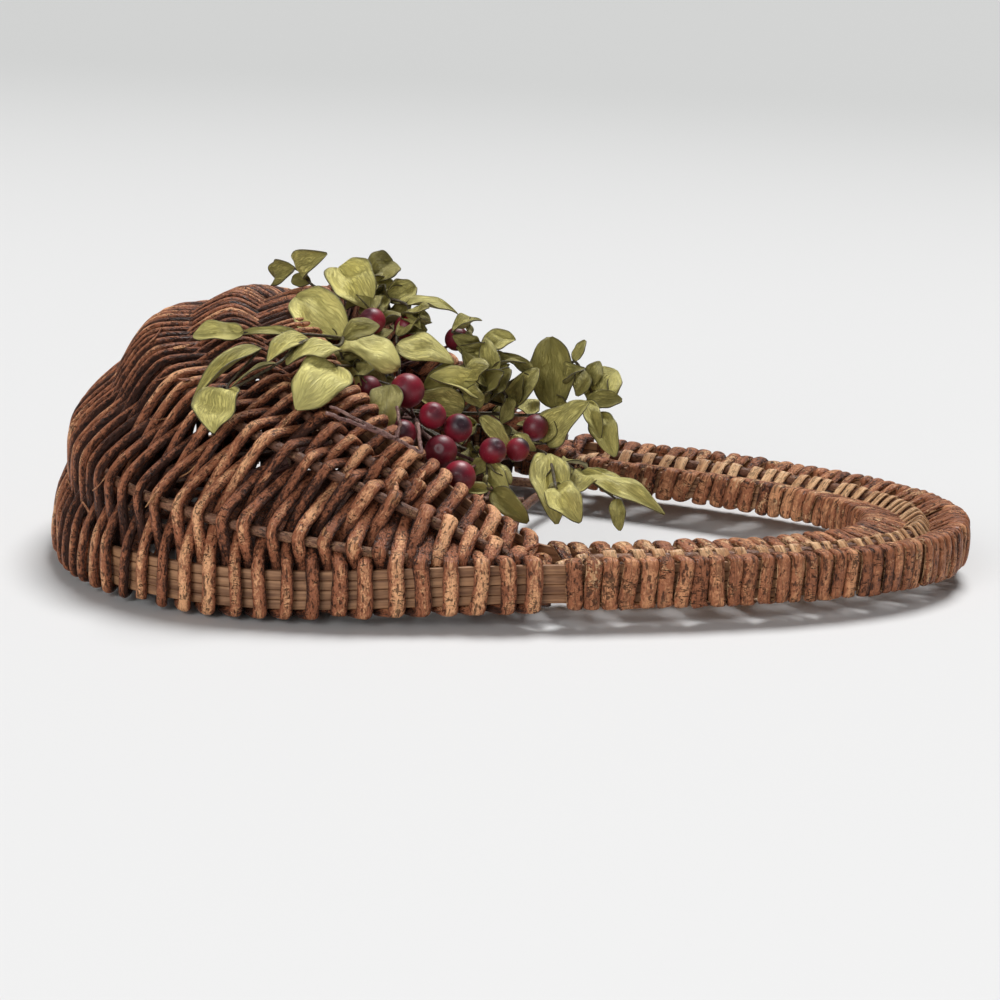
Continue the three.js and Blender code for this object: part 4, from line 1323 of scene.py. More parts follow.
@dataclass
class HandleWeave(Weaving):
    """Split willow strip woven over the three warps of the handle, from its tip to each ear."""

    loops: int = 27
    extra_every: int = 3
    middle_width: float = 4.9
    under_width: float = 3.4
    middle_thickness: float = 1.5
    tip_crowding: float = 0.26
    strip_width: float = 6.6
    strip_thickness: float = 3.0
    middle_angle: float = 55.0
    ear_gap: float = 3.5
    spacing: float = 1.1
    tension: float = 0.5
    inner_face: float = 0.45

    def build(self) -> None:
        """Builds the strip on either side."""
        for name, node, side in (
            ("handle_strip_far", "handle_winding_far", 1),
            ("handle_strip_near", "handle_winding_near", -1),
        ):
            piece = StrandPiece(name, self.hoops.placement, [self._strip(side)]).build()
            piece.data.materials.append(self.hoops.finishes.strip)
            hand_over(piece, Body.BASKET, [node])

    def _share(self, way: float, side: int) -> float:
        """The share of the way round at a part of the way from the tip to the ear."""
        lines = self.hoops.lines
        reach = lines.ear_share - self.ear_gap / 2 / lines.hoop_round
        return side * reach * way * (1 - self.tip_crowding + self.tip_crowding * way)

    def _strip(self, side: int) -> Strand:
        """The strip of one side as a strand, bark outside and bare wood inside."""
        lines = self.hoops.lines
        rng = np.random.default_rng(300 + side)
        half = self.strip_thickness / 2
        clear = self.inner_face * half
        wraps = self.loops + self.loops // self.extra_every
        steps, widths, depths, bare = [], [], [], []
        flat, deep = self.middle_thickness, self.strip_thickness
        for loop in range(self.loops):
            wrap = loop + loop // self.extra_every
            away, after, extra = (self._share((wrap + k) / wraps, side) for k in (0.5, 1.0, 1.5))
            rim_away, rim_back = (self._share((loop + k) / self.loops, side) for k in (0.5, 0.85))
            outer = self._gap(lines.hoop, (wrap + 0.5) / wraps, 0.5 / wraps, side)
            inner = self._gap(lines.mouth, (loop + 0.6) / self.loops, 0.5 / self.loops, side)
            outer, inner = min(self.strip_width, 0.92 * outer), min(self.strip_width, 0.9 * inner)
            middle, under = min(self.middle_width, 0.78 * inner), min(self.under_width, 0.5 * inner)
            made = [self.hoop_step(away, out, up, clear) for out, up in ((1, -1), (1, 1), (-1, 1))]
            made.append(self.rib_step((away + rim_away) / 2, self.middle_angle, -1, flat / 2))
            made += [self.mouth_step(rim_away, i, 1, clear) for i in (-1, 1)]
            made += [self.mouth_step(rim_back, i, -1, clear) for i in (1, -1)]
            made.append(self.rib_step((after + rim_back) / 2, self.middle_angle, 1, flat / 2))
            made.append(self.hoop_step(after, -1, -1, clear))
            widths += [outer, outer, outer, under, inner, inner, inner, middle, middle, middle]
            depths += [deep, deep, deep, flat, deep, deep, deep, flat, flat, flat]
            bare += [0.0, 0.1, 0.2, 0.1, 0.3, 0.25, 0.2, 0.6, 0.95, 0.4]
            if loop % self.extra_every == self.extra_every - 1:
                corners = ((1, -1), (1, 1), (-1, 1), (-1, -1))
                made += [self.hoop_step(extra, out, up, clear) for out, up in corners]
                widths += [outer] * 4
                depths += [deep] * 4
                bare += [0.0, 0.1, 0.2, 0.1]
            steps += made
        points = np.array([p for p, _ in steps])
        sides = np.array([a for _, a in steps])
        points[1:-1] += sides[1:-1] * rng.normal(0, 0.4, (len(points) - 2, 1))
        points[1:-1] += rng.uniform(-0.25, 0.25, points[1:-1].shape)
        line, across, passed = thread(points, sides, self.spacing, self.tension)
        count = len(line)
        across = across + 0.16 * drift(count, 20, rng)[:, None] * UP
        width = np.interp(passed, np.arange(len(widths)), widths) * (0.97 + 0.1 * drift(count, 34, rng))
        thickness = np.interp(passed, np.arange(len(depths)), depths) * (1 + 0.14 * drift(count, 12, rng))
        tone = 0.5 + 0.3 * drift(count, 34, rng) + 0.14 * drift(count, 9, rng)
        worn = 0.04 + 0.22 * drift(count, 30, rng) + 0.2 * drift(count, 7, rng)
        worn = worn + np.interp(passed, np.arange(len(bare)), bare)
        strand = Strand(line, across, width, thickness, tone, worn, 0.95, Section.SPLIT, 16)
        strand.start = float(rng.uniform())
        strand.rough = 0.035
        # painted shade on the strip's flanks and painted light on its face
        strand.painted_flank_shade = 0.3
        return strand

    def _gap(self, line: object, way: float, step: float, side: int) -> float:
        """The distance along a line from one wrap to the next."""
        ends = [line(self._share(way + shift, side)) for shift in (step, -step)]
        return float(np.linalg.norm(ends[0] - ends[1]))


@dataclass
class BackPanel(Weaving):
    """The pocket's woven back: an edge rod, ribs that fan out from it, and rods woven across them."""

    shares: tuple[float, ...] = (-1.0, -0.5, 0.0, 0.5, 1.0)
    side_inset: float = 17.0
    ear_inset: float = 46.0
    narrows: tuple[float, float] = (-80.0, -25.0)
    start_x: float = -153.0
    row_pitch: float = 5.25
    weavers: int = 2
    edge_sag: float = 16.0
    level: float = 6.0
    hang: float = 6.0
    offset: float = 4.0
    turn_ease: float = 6.0
    rod_width: float = 5.4
    rod_thickness: float = 3.4

    def build(self) -> None:
        """Builds the rods and the weavers."""
        lines, hoops = self.hoops.lines, self.hoops
        ear = lines.ear_share
        end = lines.mouth(ear) + lines.mouth_in(ear) * (hoops.reed_thickness / 2 + 0.3)
        across = np.linspace(-end[1], end[1], 60)
        edge = np.stack([self._edge_x(across, end), across, np.full(60, self.level)], 1)
        hoops.rod("rod_back_edge", "back_edge_rod", edge, np.tile(UP, (60, 1)), False, 40)
        for i, share in enumerate(self.shares):
            foot = -lines.length / 2 + 5.0 if share == 0 else self.start_x
            head = float(self._edge_x(share * self._half(lines.ear_x - self.edge_sag), end)) - 2.6
            xs = np.linspace(foot, head, 50)
            rib = np.array([(x, share * self._half(x), self._height(x, share)) for x in xs])
            hoops.rod(f"rod_back_rib_{i + 1}", f"back_rib_{i + 1}", rib, np.tile(UP, (50, 1)), False, 41 + i)
        top = float(self._edge_x(0.0, end)) - hoops.rod_radius - self.rod_width
        rows = int((top - self.start_x) / self.row_pitch)
        each = math.ceil(rows / self.weavers)
        for number in range(self.weavers):
            chosen = range(number * each, min(rows, (number + 1) * each))
            rod = self._weaver(chosen, number)
            piece = StrandPiece(f"back_rods_{number + 1}", hoops.placement, [rod]).build()
            piece.data.materials.append(hoops.finishes.bark)
            hand_over(piece, Body.BASKET, [f"back_weaver_{number + 1}"])

    def _edge_x(self, y: Array | float, end: Array) -> Array | float:
        """Where the edge rod is, at a place across the back."""
        return end[0] - self.edge_sag * (1 - (y / end[1]) ** 2)

    def _height(self, x: float, share: float) -> float:
        """The back's height at a place along it and a share of its half width. It sags in the middle."""
        way = min(max((x - self.start_x) / (self.hoops.lines.ear_x - self.edge_sag - self.start_x), 0), 1)
        return self.level - self.hang * math.sin(math.pi * way) ** 1.6 * (1 - share * share)

    def _half(self, x: float) -> float:
        """Half the width of the back at a place along it."""
        lines = self.hoops.lines
        t = min(max((x - self.narrows[0]) / (self.narrows[1] - self.narrows[0]), 0), 1)
        inset = self.side_inset + (self.ear_inset - self.side_inset) * ease(t)
        half = lines.samples // 2
        line = lines.hoop_table[:half] - inset * np.cross(lines.hoop_tangents[:half], UP)
        return float(np.interp(-x, -line[:, 0], line[:, 1]))

    def _weaver(self, rows: range, number: int) -> Strand:
        """One weaver across the ribs, turning round the outer ones."""
        rng = np.random.default_rng(60 + number)
        points = []
        for row in rows:
            x = self.start_x + (row + 0.5) * self.row_pitch
            half = self._half(x)
            forth = row % 2 == 0
            sides = [1 if i % 2 == 0 else -1 for i in range(len(self.shares))]
            ys = [s * half for s in self.shares]
            turn = half + self.offset + self.turn_ease
            offset = self.offset if forth else -self.offset
            heights = [self._height(x, s) + side * offset for s, side in zip(self.shares, sides)]

            made = [(x, y, z) for y, z in zip(ys, heights)]
            made = [(x, -turn, self.level)] + made + [(x, turn, self.level)]
            points += made if forth else made[::-1]
        points = np.array(points)
        points[1:-1, :2] += rng.uniform(-0.4, 0.4, (len(points) - 2, 2))
        sides = np.tile([1.0, 0.0, 0.0], (len(points), 1))
        line, across, _ = thread(points, sides, 2.2, 0.8)
        count = len(line)
        width = self.rod_width * (1 + 0.12 * drift(count, 60, rng))
        thickness = self.rod_thickness * (1 + 0.08 * drift(count, 8, rng))
        # painted shade: the back's rods are given a dark tone, so the inside of the pocket reads dark
        tone = 0.12 + 0.2 * drift(count, 50, rng)
        worn = 0.1 + 0.2 * drift(count, 20, rng)
        return Strand(line, across, width, thickness, tone, worn, start=float(rng.uniform()))


@dataclass(frozen=True)
class Leaf:
    """One leaf: base and tip in millimetres from the middle of the lip, and how it is bent."""

    base: Point
    tip: Point
    width: float
    face: Point = (0.0, -0.7, 0.7)
    cup: float = 0.3
    curl: float = 0.1
    tone: float = 0.25
    wave: float = 0.16
    fold: float = 0.16
    crumple: float = 0.24


@dataclass(frozen=True)
class Branch:
    """A stem of a sprig, by way of a point to the base of each of its leaves."""

    way: Point
    leaves: tuple[Leaf, ...]


@dataclass(frozen=True)
class LeafShape:
    """What the outlines and bends of all leaves have in common. A Span is drawn from evenly."""

    base_power: Span = (0.45, 0.62)
    tip_power: Span = (0.62, 0.95)
    base_end: float = 0.004
    tip_end: float = 1.012
    ragged: float = 0.05
    ragged_waves: Span = (9, 16)
    ragged_shift: float = 2.2
    twist_spread: float = 0.15
    waves: float = 1.4
    wave_shift: float = 1.4
    wave_power: float = 1.5
    crumples: int = 5
    crumple_along: float = 9.0
    crumple_across: float = 5.0
    cup_pull: float = 0.7
    least_spread: float = 0.3
    curl_end: float = 0.6

    def bent(self, leaf: Leaf, u: Array, v: Array, rng: Rng) -> Array:
        """Bends a flat leaf.

        Args:
            leaf: where it is and how it is bent.
            u: the place of each corner along the leaf, from 0 to 1.
            v: its place across the leaf, from -1 to 1.
            rng: the seeded source of small differences.

        Returns:
            The corners in millimetres from the middle of the lip.
        """
        base = np.array(leaf.base)
        run = np.array(leaf.tip) - base
        length = float(np.linalg.norm(run))
        side = unit(np.cross(run, leaf.face))
        lift = unit(np.cross(side, run))
        shape = (u + self.base_end) ** rng.uniform(*self.base_power)
        shape = shape * (self.tip_end - u) ** rng.uniform(*self.tip_power)
        waves = rng.uniform(*self.ragged_waves) * u + self.ragged_shift * np.sign(v)
        ragged = 1 + self.ragged * np.sin(waves + rng.uniform(0, FULL_TURN))
        half = leaf.width / 2 * shape / shape.max() * ragged
        turn = self.twist_spread * rng.uniform(-1, 1)
        flank = -(np.cos(turn) * side + np.sin(turn) * lift)
        crown = np.cos(turn) * lift - np.sin(turn) * side
        phase = rng.uniform(0, FULL_TURN)
        ripple = np.sin(2 * math.pi * (self.waves * u) + phase + self.wave_shift * np.sign(v))
        ripple = leaf.wave * ripple * np.abs(v) ** self.wave_power
        rise = leaf.cup * v**2 + leaf.fold * np.abs(v) + ripple
        for _ in range(self.crumples):
            bend = rng.uniform(-1, 1, 2) * (self.crumple_along, self.crumple_across)
            crease = np.sin(bend[0] * u + bend[1] * v + rng.uniform(0, FULL_TURN))
            rise = rise + leaf.crumple / 2 * crease
        spread = np.sqrt(np.maximum(1 - (self.cup_pull * leaf.cup * v) ** 2, self.least_spread))
        arch = 4 * u * (1 - u) - self.curl_end * u**2
        spine = base + run * u + lift * length * leaf.curl * arch
        return spine + flank * half * v * spread + crown * half * rise


@dataclass(frozen=True)
class Fillers:
    """Small leaves along a stem, behind its main ones, given darker tones as painted shade. A Span is drawn
    from evenly.
    """

    count: int = 8
    start_x: float = 16.0
    along: Span = (0.3, 0.95)
    away: Point = (0.1, -0.2, 0.3)
    length: Span = (9, 16)
    width: Span = (6, 10)
    face: Point = (0.0, -0.7, 0.6)
    face_spread: float = 0.6
    cup: Span = (-0.3, 0.6)
    curl: float = 0.12
    # painted shade: darker tones for the leaves inside the spray
    tone: Span = (0.25, 0.9)

    def grow(self, line: Array, top: float, rng: Rng) -> list[Leaf]:
        """Grows the leaves of one stem.

        Args:
            line: the stem.
            top: the height that they stay under.
            rng: the seeded source.

        Returns:
            The leaves.
        """
        made = []
        for share in rng.uniform(*self.along, self.count):
            base = line[int(share * (len(line) - 1))]
            if base[0] < self.start_x:
                continue
            tip = base + unit(rng.normal(size=3) + self.away) * rng.uniform(*self.length)
            tip[2] = min(tip[2], top)
            face = unit(rng.normal(size=3) * self.face_spread + self.face)
            width, cup, tone = (rng.uniform(*span) for span in (self.width, self.cup, self.tone))
            made.append(Leaf(tuple(base), tuple(tip), width, tuple(face), cup, self.curl, tone=tone))
        return made


@dataclass
class Spray:
    """The spray: sprigs of leaves, twigs of berries, and the bound stems that they stand on."""

    lines: FrameLines
    placement: Placement
    finishes: Finishes
    bundle_foot: Point = (-22.75, 0.0, -69.2)
    bundle_head: Point = (38.0, 0.0, -38.0)
    bundle_stems: int = 7
    bundle_ring: float = 3.0
    bundle_widths: Span = (2.6, 2.3)
    bundle_steps: int = 30
    bundle_foot_spread: float = 0.7
    bundle_overrun: float = 2.0
    bundle_jitter: float = 0.4
    bundle_seed: int = 500
    binding_radius: float = 4.5
    binding_turns: int = 7
    binding_reach: Span = (0.3, 0.7)
    binding_steps: int = 28
    binding_width: float = 1.2
    binding_thickness: float = 0.9
    binding_tone: float = 0.6
    binding_worn: float = 0.7
    stem_widths: Span = (1.7, 0.9)
    stem_tone: float = 0.4
    stem_tone_run: float = 6
    stem_tone_swing: float = 0.2
    stem_knots: Vary = Vary(1.0, 0.12, 4)
    stem_worn: float = 0.1
    stem_sides: int = 8
    stem_jitter: float = 0.2
    stem_spacing: float = 2.0
    stem_tension: float = 0.9
    sprig_seed: int = 600
    leaf_steps: int = 20
    leaf_rows: int = 12
    leaf_thickness: float = 0.4
    leaf_tone_spread: float = 0.12
    leaf_shape: LeafShape = LeafShape()
    fillers: Fillers = Fillers()

    def build(self, sprigs: dict[str, tuple[float, tuple[Branch, ...]]]) -> None:
        """Builds the bound stems and the sprigs.

        Args:
            sprigs: branches and the place of the root among the stems, by the sprig's CAD node.
        """
        self._bundle()
        blank = self._blank()
        for number, (node, (place, branches)) in enumerate(sprigs.items()):
            rng = np.random.default_rng(self.sprig_seed + number)
            self._sprig(node, self.root(place), branches, blank, rng)
        bpy.data.objects.remove(blank)

    def _axes(self) -> tuple[Array, Array, Array, Array]:
        """Gives the foot and the head of the bound stems, and the directions along and up from them."""
        head, foot = np.array(self.bundle_head), np.array(self.bundle_foot)
        run = unit(head - foot)
        return foot, head, run, np.cross(run, ASIDE)

    def _ring(self, place: float) -> Array:
        """Where a stem is from the middle of the bound stems, by its place among them."""
        _, _, _, lift = self._axes()
        turn = place / self.bundle_stems * 2 * math.pi
        return self.bundle_ring * (math.sin(turn) * lift + math.cos(turn) * ASIDE)

    def root(self, place: float) -> Array:
        """Where a twig leaves the head of the bound stems."""
        return np.array(self.bundle_head) + self._ring(place)

    def _bundle(self) -> None:
        """Builds the stems side by side, with thread bound round them."""
        rng = np.random.default_rng(self.bundle_seed)
        foot, head, run, lift = self._axes()
        piece = StrandPiece("stems_bound", self.placement)
        t = np.linspace(0, 1, self.bundle_steps)[:, None]
        for i in range(self.bundle_stems):
            off = self._ring(i)
            start = foot + off * self.bundle_foot_spread
            line = start + (head + off + run * self.bundle_overrun - start) * t
            line[1:-1] += self.bundle_jitter * rng.uniform(-1, 1, line[1:-1].shape)
            piece.strands.append(self.stem(line, self.bundle_widths, self.stem_tone, rng))
        turn = np.linspace(0, 2 * math.pi, self.binding_steps, endpoint=False)[:, None]
        circle = self.binding_radius * (np.cos(turn) * lift + np.sin(turn) * ASIDE)
        flat = np.ones(self.binding_steps)
        width, thickness = flat * self.binding_width, flat * self.binding_thickness
        tone, worn = flat * self.binding_tone, flat * self.binding_worn
        across = np.tile(run, (self.binding_steps, 1))
        for share in np.linspace(*self.binding_reach, self.binding_turns):
            ring = foot + (head - foot) * share + circle + self.lines.lip()
            piece.strands.append(Strand(ring, across, width, thickness, tone, worn, closed=True))
        made = piece.build()
        made.data.materials.append(self.finishes.twig)
        hand_over(made, Body.SPRAY, ["spray_stem_bundle"])

    def bend(self, points: Array) -> Array:
        """Runs a stem's line through points."""
        return bend(points, self.stem_spacing, self.stem_tension)

    def stem(self, line: Array, widths: Span, tone: float, rng: Rng) -> Strand:
        """Builds a stem along a line.

        Args:
            line: places from the middle of the lip.
            widths: its width at its start and at its end.
            tone: its tone.
            rng: the seeded source.

        Returns:
            The stem.
        """
        count = len(line)
        width = np.linspace(*widths, count) * self.stem_knots.along(count, rng)
        across = np.cross(np.gradient(line, axis=0), STEM_ACROSS)
        tones = Vary(tone, self.stem_tone_swing, self.stem_tone_run).along(count, rng)
        worn = np.full(count, self.stem_worn)
        strand = Strand(line + self.lines.lip(), across, width, width, tones, worn)
        strand.sides, strand.start = self.stem_sides, float(rng.uniform())
        return strand

    def _blank(self) -> bpy.types.Object:
        """Models the flat leaf blank that every leaf is bent from."""
        bpy.ops.object.select_all(action="DESELECT")
        steps, rows = self.leaf_steps, self.leaf_rows
        bpy.ops.mesh.primitive_grid_add(x_subdivisions=steps, y_subdivisions=rows, size=2)
        blank = bpy.context.active_object
        blank.name = "leaf_blank"
        return blank

    def _leaf(self, blank: bpy.types.Object, leaf: Leaf, rng: Rng) -> bpy.types.Object:
        """Bends a copy of the blank into one leaf and gives it its thickness.

        Args:
            blank: the flat leaf.
            leaf: where it is and how it is bent.
            rng: the seeded source of small differences.

        Returns:
            The leaf as an object of its own.
        """
        mesh = blank.data.copy()
        flat = np.empty(3 * len(mesh.vertices), np.float32)
        mesh.vertices.foreach_get("co", flat)
        flat = flat.reshape(-1, 3).astype(float)
        points = self.leaf_shape.bent(leaf, (flat[:, :1] + 1) / 2, flat[:, 1:2], rng)
        placed = self.placement.place(points + self.lines.lip())
        mesh.vertices.foreach_set("co", placed.astype(np.float32).ravel())
        tone = leaf.tone + self.leaf_tone_spread * rng.uniform(-1, 1)
        set_marks(mesh, np.tile([tone, 0.0, rng.uniform(), 1.0], (len(mesh.vertices), 1)))
        for material in self.finishes.leaf:
            mesh.materials.append(material)
        made = add_object("leaf", mesh)
        only(made)
        solidify = made.modifiers.new("thickness", "SOLIDIFY")
        solidify.thickness = self.leaf_thickness * MM
        solidify.offset = -1
        solidify.material_offset = 1
        solidify.material_offset_rim = 2
        bpy.ops.object.modifier_apply(modifier=solidify.name)
        bpy.ops.object.shade_smooth()
        return made

    def _sprig(
        self,
        node: str,
        root: Array,
        branches: tuple[Branch, ...],
        blank: bpy.types.Object,
        rng: Rng,
    ) -> None:
        """Builds one sprig: its stems and its leaves, joined.

        Args:
            node: the CAD node that it stands for.
            root: where it leaves the bound stems.
            branches: its branches.
            blank: the flat leaf.
            rng: the seeded source.
        """
        stems = StrandPiece(node.replace("leaf_sprig", "sprig"), self.placement)
        leaves = []
        for branch in branches:
            points = np.array([root, branch.way, *(leaf.base for leaf in branch.leaves)])
            points[1:] += rng.uniform(-self.stem_jitter, self.stem_jitter, points[1:].shape)
            line = self.bend(points)
            stems.strands.append(self.stem(line, self.stem_widths, self.stem_tone, rng))
            leaves += [self._leaf(blank, leaf, rng) for leaf in branch.leaves]
            top = max(leaf.tip[2] for leaf in branch.leaves)
            leaves += [self._leaf(blank, leaf, rng) for leaf in self.fillers.grow(line, top, rng)]
        piece = stems.build()
        piece.data.materials.append(self.finishes.stem)
        only(piece)
        for leaf in leaves:
            leaf.select_set(True)
        bpy.ops.object.join()
        hand_over(piece, Body.SPRAY, [node])


@dataclass(frozen=True)
class BerryTwig:
    """A twig with its fork, the numbers of the berries on it, and loose twigs with none."""

    node: str
    place: float
    way: tuple[Point, ...]
    berries: tuple[int, ...]
    loose: tuple[tuple[Point, ...], ...] = ()


@dataclass
class Berries:
    """The berries and their twigs. A Span of the lean, tones and stretch is drawn from evenly."""

    spray: Spray
    seed: int = 700
    twig_widths: Span = (1.9, 1.2)
    twig_tone: float = 0.5
    loose_widths: Span = (1.7, 1.2)
    loose_tone: float = 0.62
    loose_spacing: float = 1.5
    loose_tension: float = 0.8
    loose_jitter: float = 0.25
    stalk_widths: Span = (1.2, 1.08)
    stalk_spacing: float = 1.5
    stalk_bend: float = 1.5
    stalk_rise: float = 1.0
    stalk_depth: float = 0.9
    segments: int = 36
    rings: int = 24
    pole_start: float = 0.985
    pole_size: Point = (0.8, 0.8, 0.93)
    crown_start: float = 0.1
    lean_across: Span = (-0.5, 0.5)
    lean_forward: float = -0.35
    lean_up: Span = (0.1, 0.8)
    stretch: Span = (0.98, 1.06)
    crown_tone: Span = (0.3, 1.2)
    deep_tone: Span = (0.0, 0.5)

    def build(self, twigs: tuple[BerryTwig, ...]) -> None:
        """Builds every twig and its berries.

        Args:
            twigs: the twigs.
        """
        model = self._model()
        for number, twig in enumerate(twigs):
            rng = np.random.default_rng(self.seed + number)
            points = np.array([self.spray.root(twig.place), *twig.way])
            piece = StrandPiece(twig.node.replace("berry_twig", "berry_stalks"), self.spray.placement)
            line = self.spray.bend(points)
            piece.strands.append(self.spray.stem(line, self.twig_widths, self.twig_tone, rng))
            for berry in twig.berries:
                piece.strands.append(self._berry(model, berry, points[-1], rng))
            for way in twig.loose:
                line = bend(np.array(way), self.loose_spacing, self.loose_tension)
                line[1:-1] += rng.uniform(-self.loose_jitter, self.loose_jitter, line[1:-1].shape)
                piece.strands.append(self.spray.stem(line, self.loose_widths, self.loose_tone, rng))
            made = piece.build()
            made.data.materials.append(self.spray.finishes.twig)
            hand_over(made, Body.SPRAY, [twig.node])
        bpy.data.objects.remove(model)

    def _model(self) -> bpy.types.Object:
        """Models one berry of radius 1 with its stalk at -Z and its crown at +Z."""
        bpy.ops.object.select_all(action="DESELECT")
        bpy.ops.mesh.primitive_uv_sphere_add(segments=self.segments, ring_count=self.rings, radius=1)
        model = bpy.context.active_object
        bpy.ops.object.mode_set(mode="EDIT")
        bpy.ops.mesh.select_all(action="DESELECT")
        bpy.ops.object.mode_set(mode="OBJECT")
        for vertex in model.data.vertices:
            vertex.select = abs(vertex.co.z) > self.pole_start
        bpy.ops.object.mode_set(mode="EDIT")
        bpy.ops.transform.resize(value=self.pole_size)
        bpy.ops.object.mode_set(mode="OBJECT")
        heights = np.array([vertex.co.z for vertex in model.data.vertices])
        crown = np.clip((heights - self.crown_start) / (1 - self.crown_start), 0, 1)
        blank = np.zeros_like(crown)
        set_marks(model.data, np.stack([crown, blank, blank, np.ones_like(crown)], 1))
        bpy.ops.object.shade_smooth()
        return model

    def _berry(self, model: bpy.types.Object, number: int, fork: Array, rng: Rng) -> Strand:
        """Places a copy of the berry where its CAD node is.

        Args:
            model: the berry to copy.
            number: the number of the berry.
            fork: where its stalk leaves the twig.
            rng: the seeded source.

        Returns:
            The stalk from the fork to the berry.
        """
        node = f"berry_{number:02d}"
        placement, lip = self.spray.placement, self.spray.lines.lip()
        low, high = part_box(node)
        centre = np.array((low + high) / 2)
        radius = float(max(high - low)) / 2
        away = Vector(unit(centre - placement.place(fork + lip)))
        across, up = rng.uniform(*self.lean_across), rng.uniform(*self.lean_up)
        lean = (away + Vector((across, self.lean_forward, up))).normalized()
        mesh = model.data.copy()
        turned = lean.to_track_quat("Z", "Y").to_matrix().to_4x4()
        size = Matrix.Diagonal((radius, radius, radius * rng.uniform(*self.stretch), 1))
        mesh.transform(Matrix.Translation(centre) @ turned @ size)
        marks = np.empty(4 * len(mesh.vertices), np.float32)
        mesh.attributes[FINISH].data.foreach_get("color", marks)
        marks[0::4] *= rng.uniform(*self.crown_tone)
        marks[1::4] = rng.uniform(*self.deep_tone)
        mesh.attributes[FINISH].data.foreach_set("color", marks)
        mesh.materials.append(self.spray.finishes.berry)
        hand_over(add_object(f"berry_fruit_{number:02d}", mesh), Body.SPRAY, [node])
        foot = (centre - np.array(lean) * radius * self.stalk_depth) / MM - np.array(placement.shift) - lip
        middle = (foot + fork) / 2 + rng.uniform(-self.stalk_bend, self.stalk_bend, 3) + self.stalk_rise * UP
        line = bend(np.array([fork, middle, foot]), self.stalk_spacing, self.spray.stem_tension)
        return self.spray.stem(line, self.stalk_widths, self.twig_tone, rng)


@dataclass(frozen=True)
class Sun:
    """A broad light of even strength: the direction that it comes from, and how wide it looks in degrees."""

    name: str
    source: Point
    spread: float
    strength: float

    def build(self) -> None:
        """Adds the light."""
        light = bpy.data.lights.new(self.name, "SUN")
        light.angle = math.radians(self.spread)
        light.energy = self.strength
        lamp = add_object(self.name, light)
        lamp.rotation_mode = "QUATERNION"
        lamp.rotation_quaternion = Vector(self.source).to_track_quat("Z", "Y")


@dataclass
class Studio:
    """A pale floor, soft light, and the camera at the photograph's viewing angle."""

    middle: Point
    floor_level: float
    floor_size: float = 40.0
    floor_colour: Colour = (0.72, 0.72, 0.72, 1)
    floor_back_colour: Colour = (0.54, 0.545, 0.54, 1)
    floor_fade: Span = (0.2, 3.5)
    floor_roughness: float = 0.6
    floor_specular: float = 0.1
    key: Sun = Sun("key", (0.15, 0.5, 1.0), 26.0, 3.4)
    fill: Sun = Sun("fill", (-0.4, -1.0, 0.45), 35.0, 1.5)
    room_colour: Colour = (1, 1, 1, 1)
    room_strength: float = 0.1
    distance: float = 1.046
    azimuth: float = 4.0
    elevation: float = 12.75
    roll: float = 2.5
    focal_pixels: float = 2670.0
    centre_pixel: Span = (514.2, 536.0)
    image: float = 1000.0
    sensor: float = 36.0

    def build(self) -> None:
        """Builds the floor, the lights and the camera."""
        self._floor()
        self.key.build()
        self.fill.build()
        self._world()
        self._camera()

    def _floor(self) -> None:
        """Models the pale floor, with painted shade that darkens it a little towards the back."""
        bpy.ops.object.select_all(action="DESELECT")
        bpy.ops.mesh.primitive_plane_add(size=self.floor_size, location=(0, 0, self.floor_level))
        floor = bpy.context.active_object
        floor.name = "floor"
        bpy.ops.object.transform_apply(location=True, rotation=True, scale=True)
        made, sheet, shader = new_material("floor_paper")
        place = sheet.node("ShaderNodeSeparateXYZ")
        sheet.feed(place.inputs[0], sheet.node("ShaderNodeTexCoord").outputs["Object"])
        # painted shade: the floor darkens towards the back, where the light falls off
        back = sheet.stretch(place.outputs[1], *self.floor_fade)
        colour = sheet.mix(back, self.floor_colour, self.floor_back_colour)
        sheet.feed(shader.inputs["Base Color"], colour)
        shader.inputs["Roughness"].default_value = self.floor_roughness
        shader.inputs["Specular IOR Level"].default_value = self.floor_specular
        floor.data.materials.append(made)
        floor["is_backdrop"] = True

    def _world(self) -> None:
        """Lights the scene evenly from all round."""
        world = bpy.data.worlds.new("soft_room")
        bpy.context.scene.world = world
        world.use_nodes = True
        background = world.node_tree.nodes["Background"]
        background.inputs["Color"].default_value = self.room_colour
        background.inputs["Strength"].default_value = self.room_strength

    def _camera(self) -> None:
        """Places the camera at the photograph's viewing angle."""
        a, e, r = (math.radians(x) for x in (self.azimuth, self.elevation, self.roll))
        back = Vector((math.sin(a) * math.cos(e), -math.cos(a) * math.cos(e), math.sin(e)))
        right = Vector((math.cos(a), math.sin(a), 0))
        up = back.cross(right)
        across = math.cos(r) * right + math.sin(r) * up
        upright = math.cos(r) * up - math.sin(r) * right
        data = bpy.data.cameras.new("camera")
        data.sensor_width = self.sensor
        data.lens = self.focal_pixels * self.sensor / self.image
        data.shift_x = (self.image / 2 - self.centre_pixel[0]) / self.image
        data.shift_y = (self.centre_pixel[1] - self.image / 2) / self.image
        camera = add_object("camera", data)
        turn = Matrix((across, upright, back)).transposed().to_4x4()
        camera.matrix_world = Matrix.Translation(Vector(self.middle) + back * self.distance) @ turn
        bpy.context.scene.camera = camera
        bpy.context.scene.view_settings.view_transform = "Standard"


UPRIGHT = (0.0, -0.95, 0.3)
SKY = (0.0, -0.3, 0.95)
RIGHT = (0.1, -0.6, 0.8)

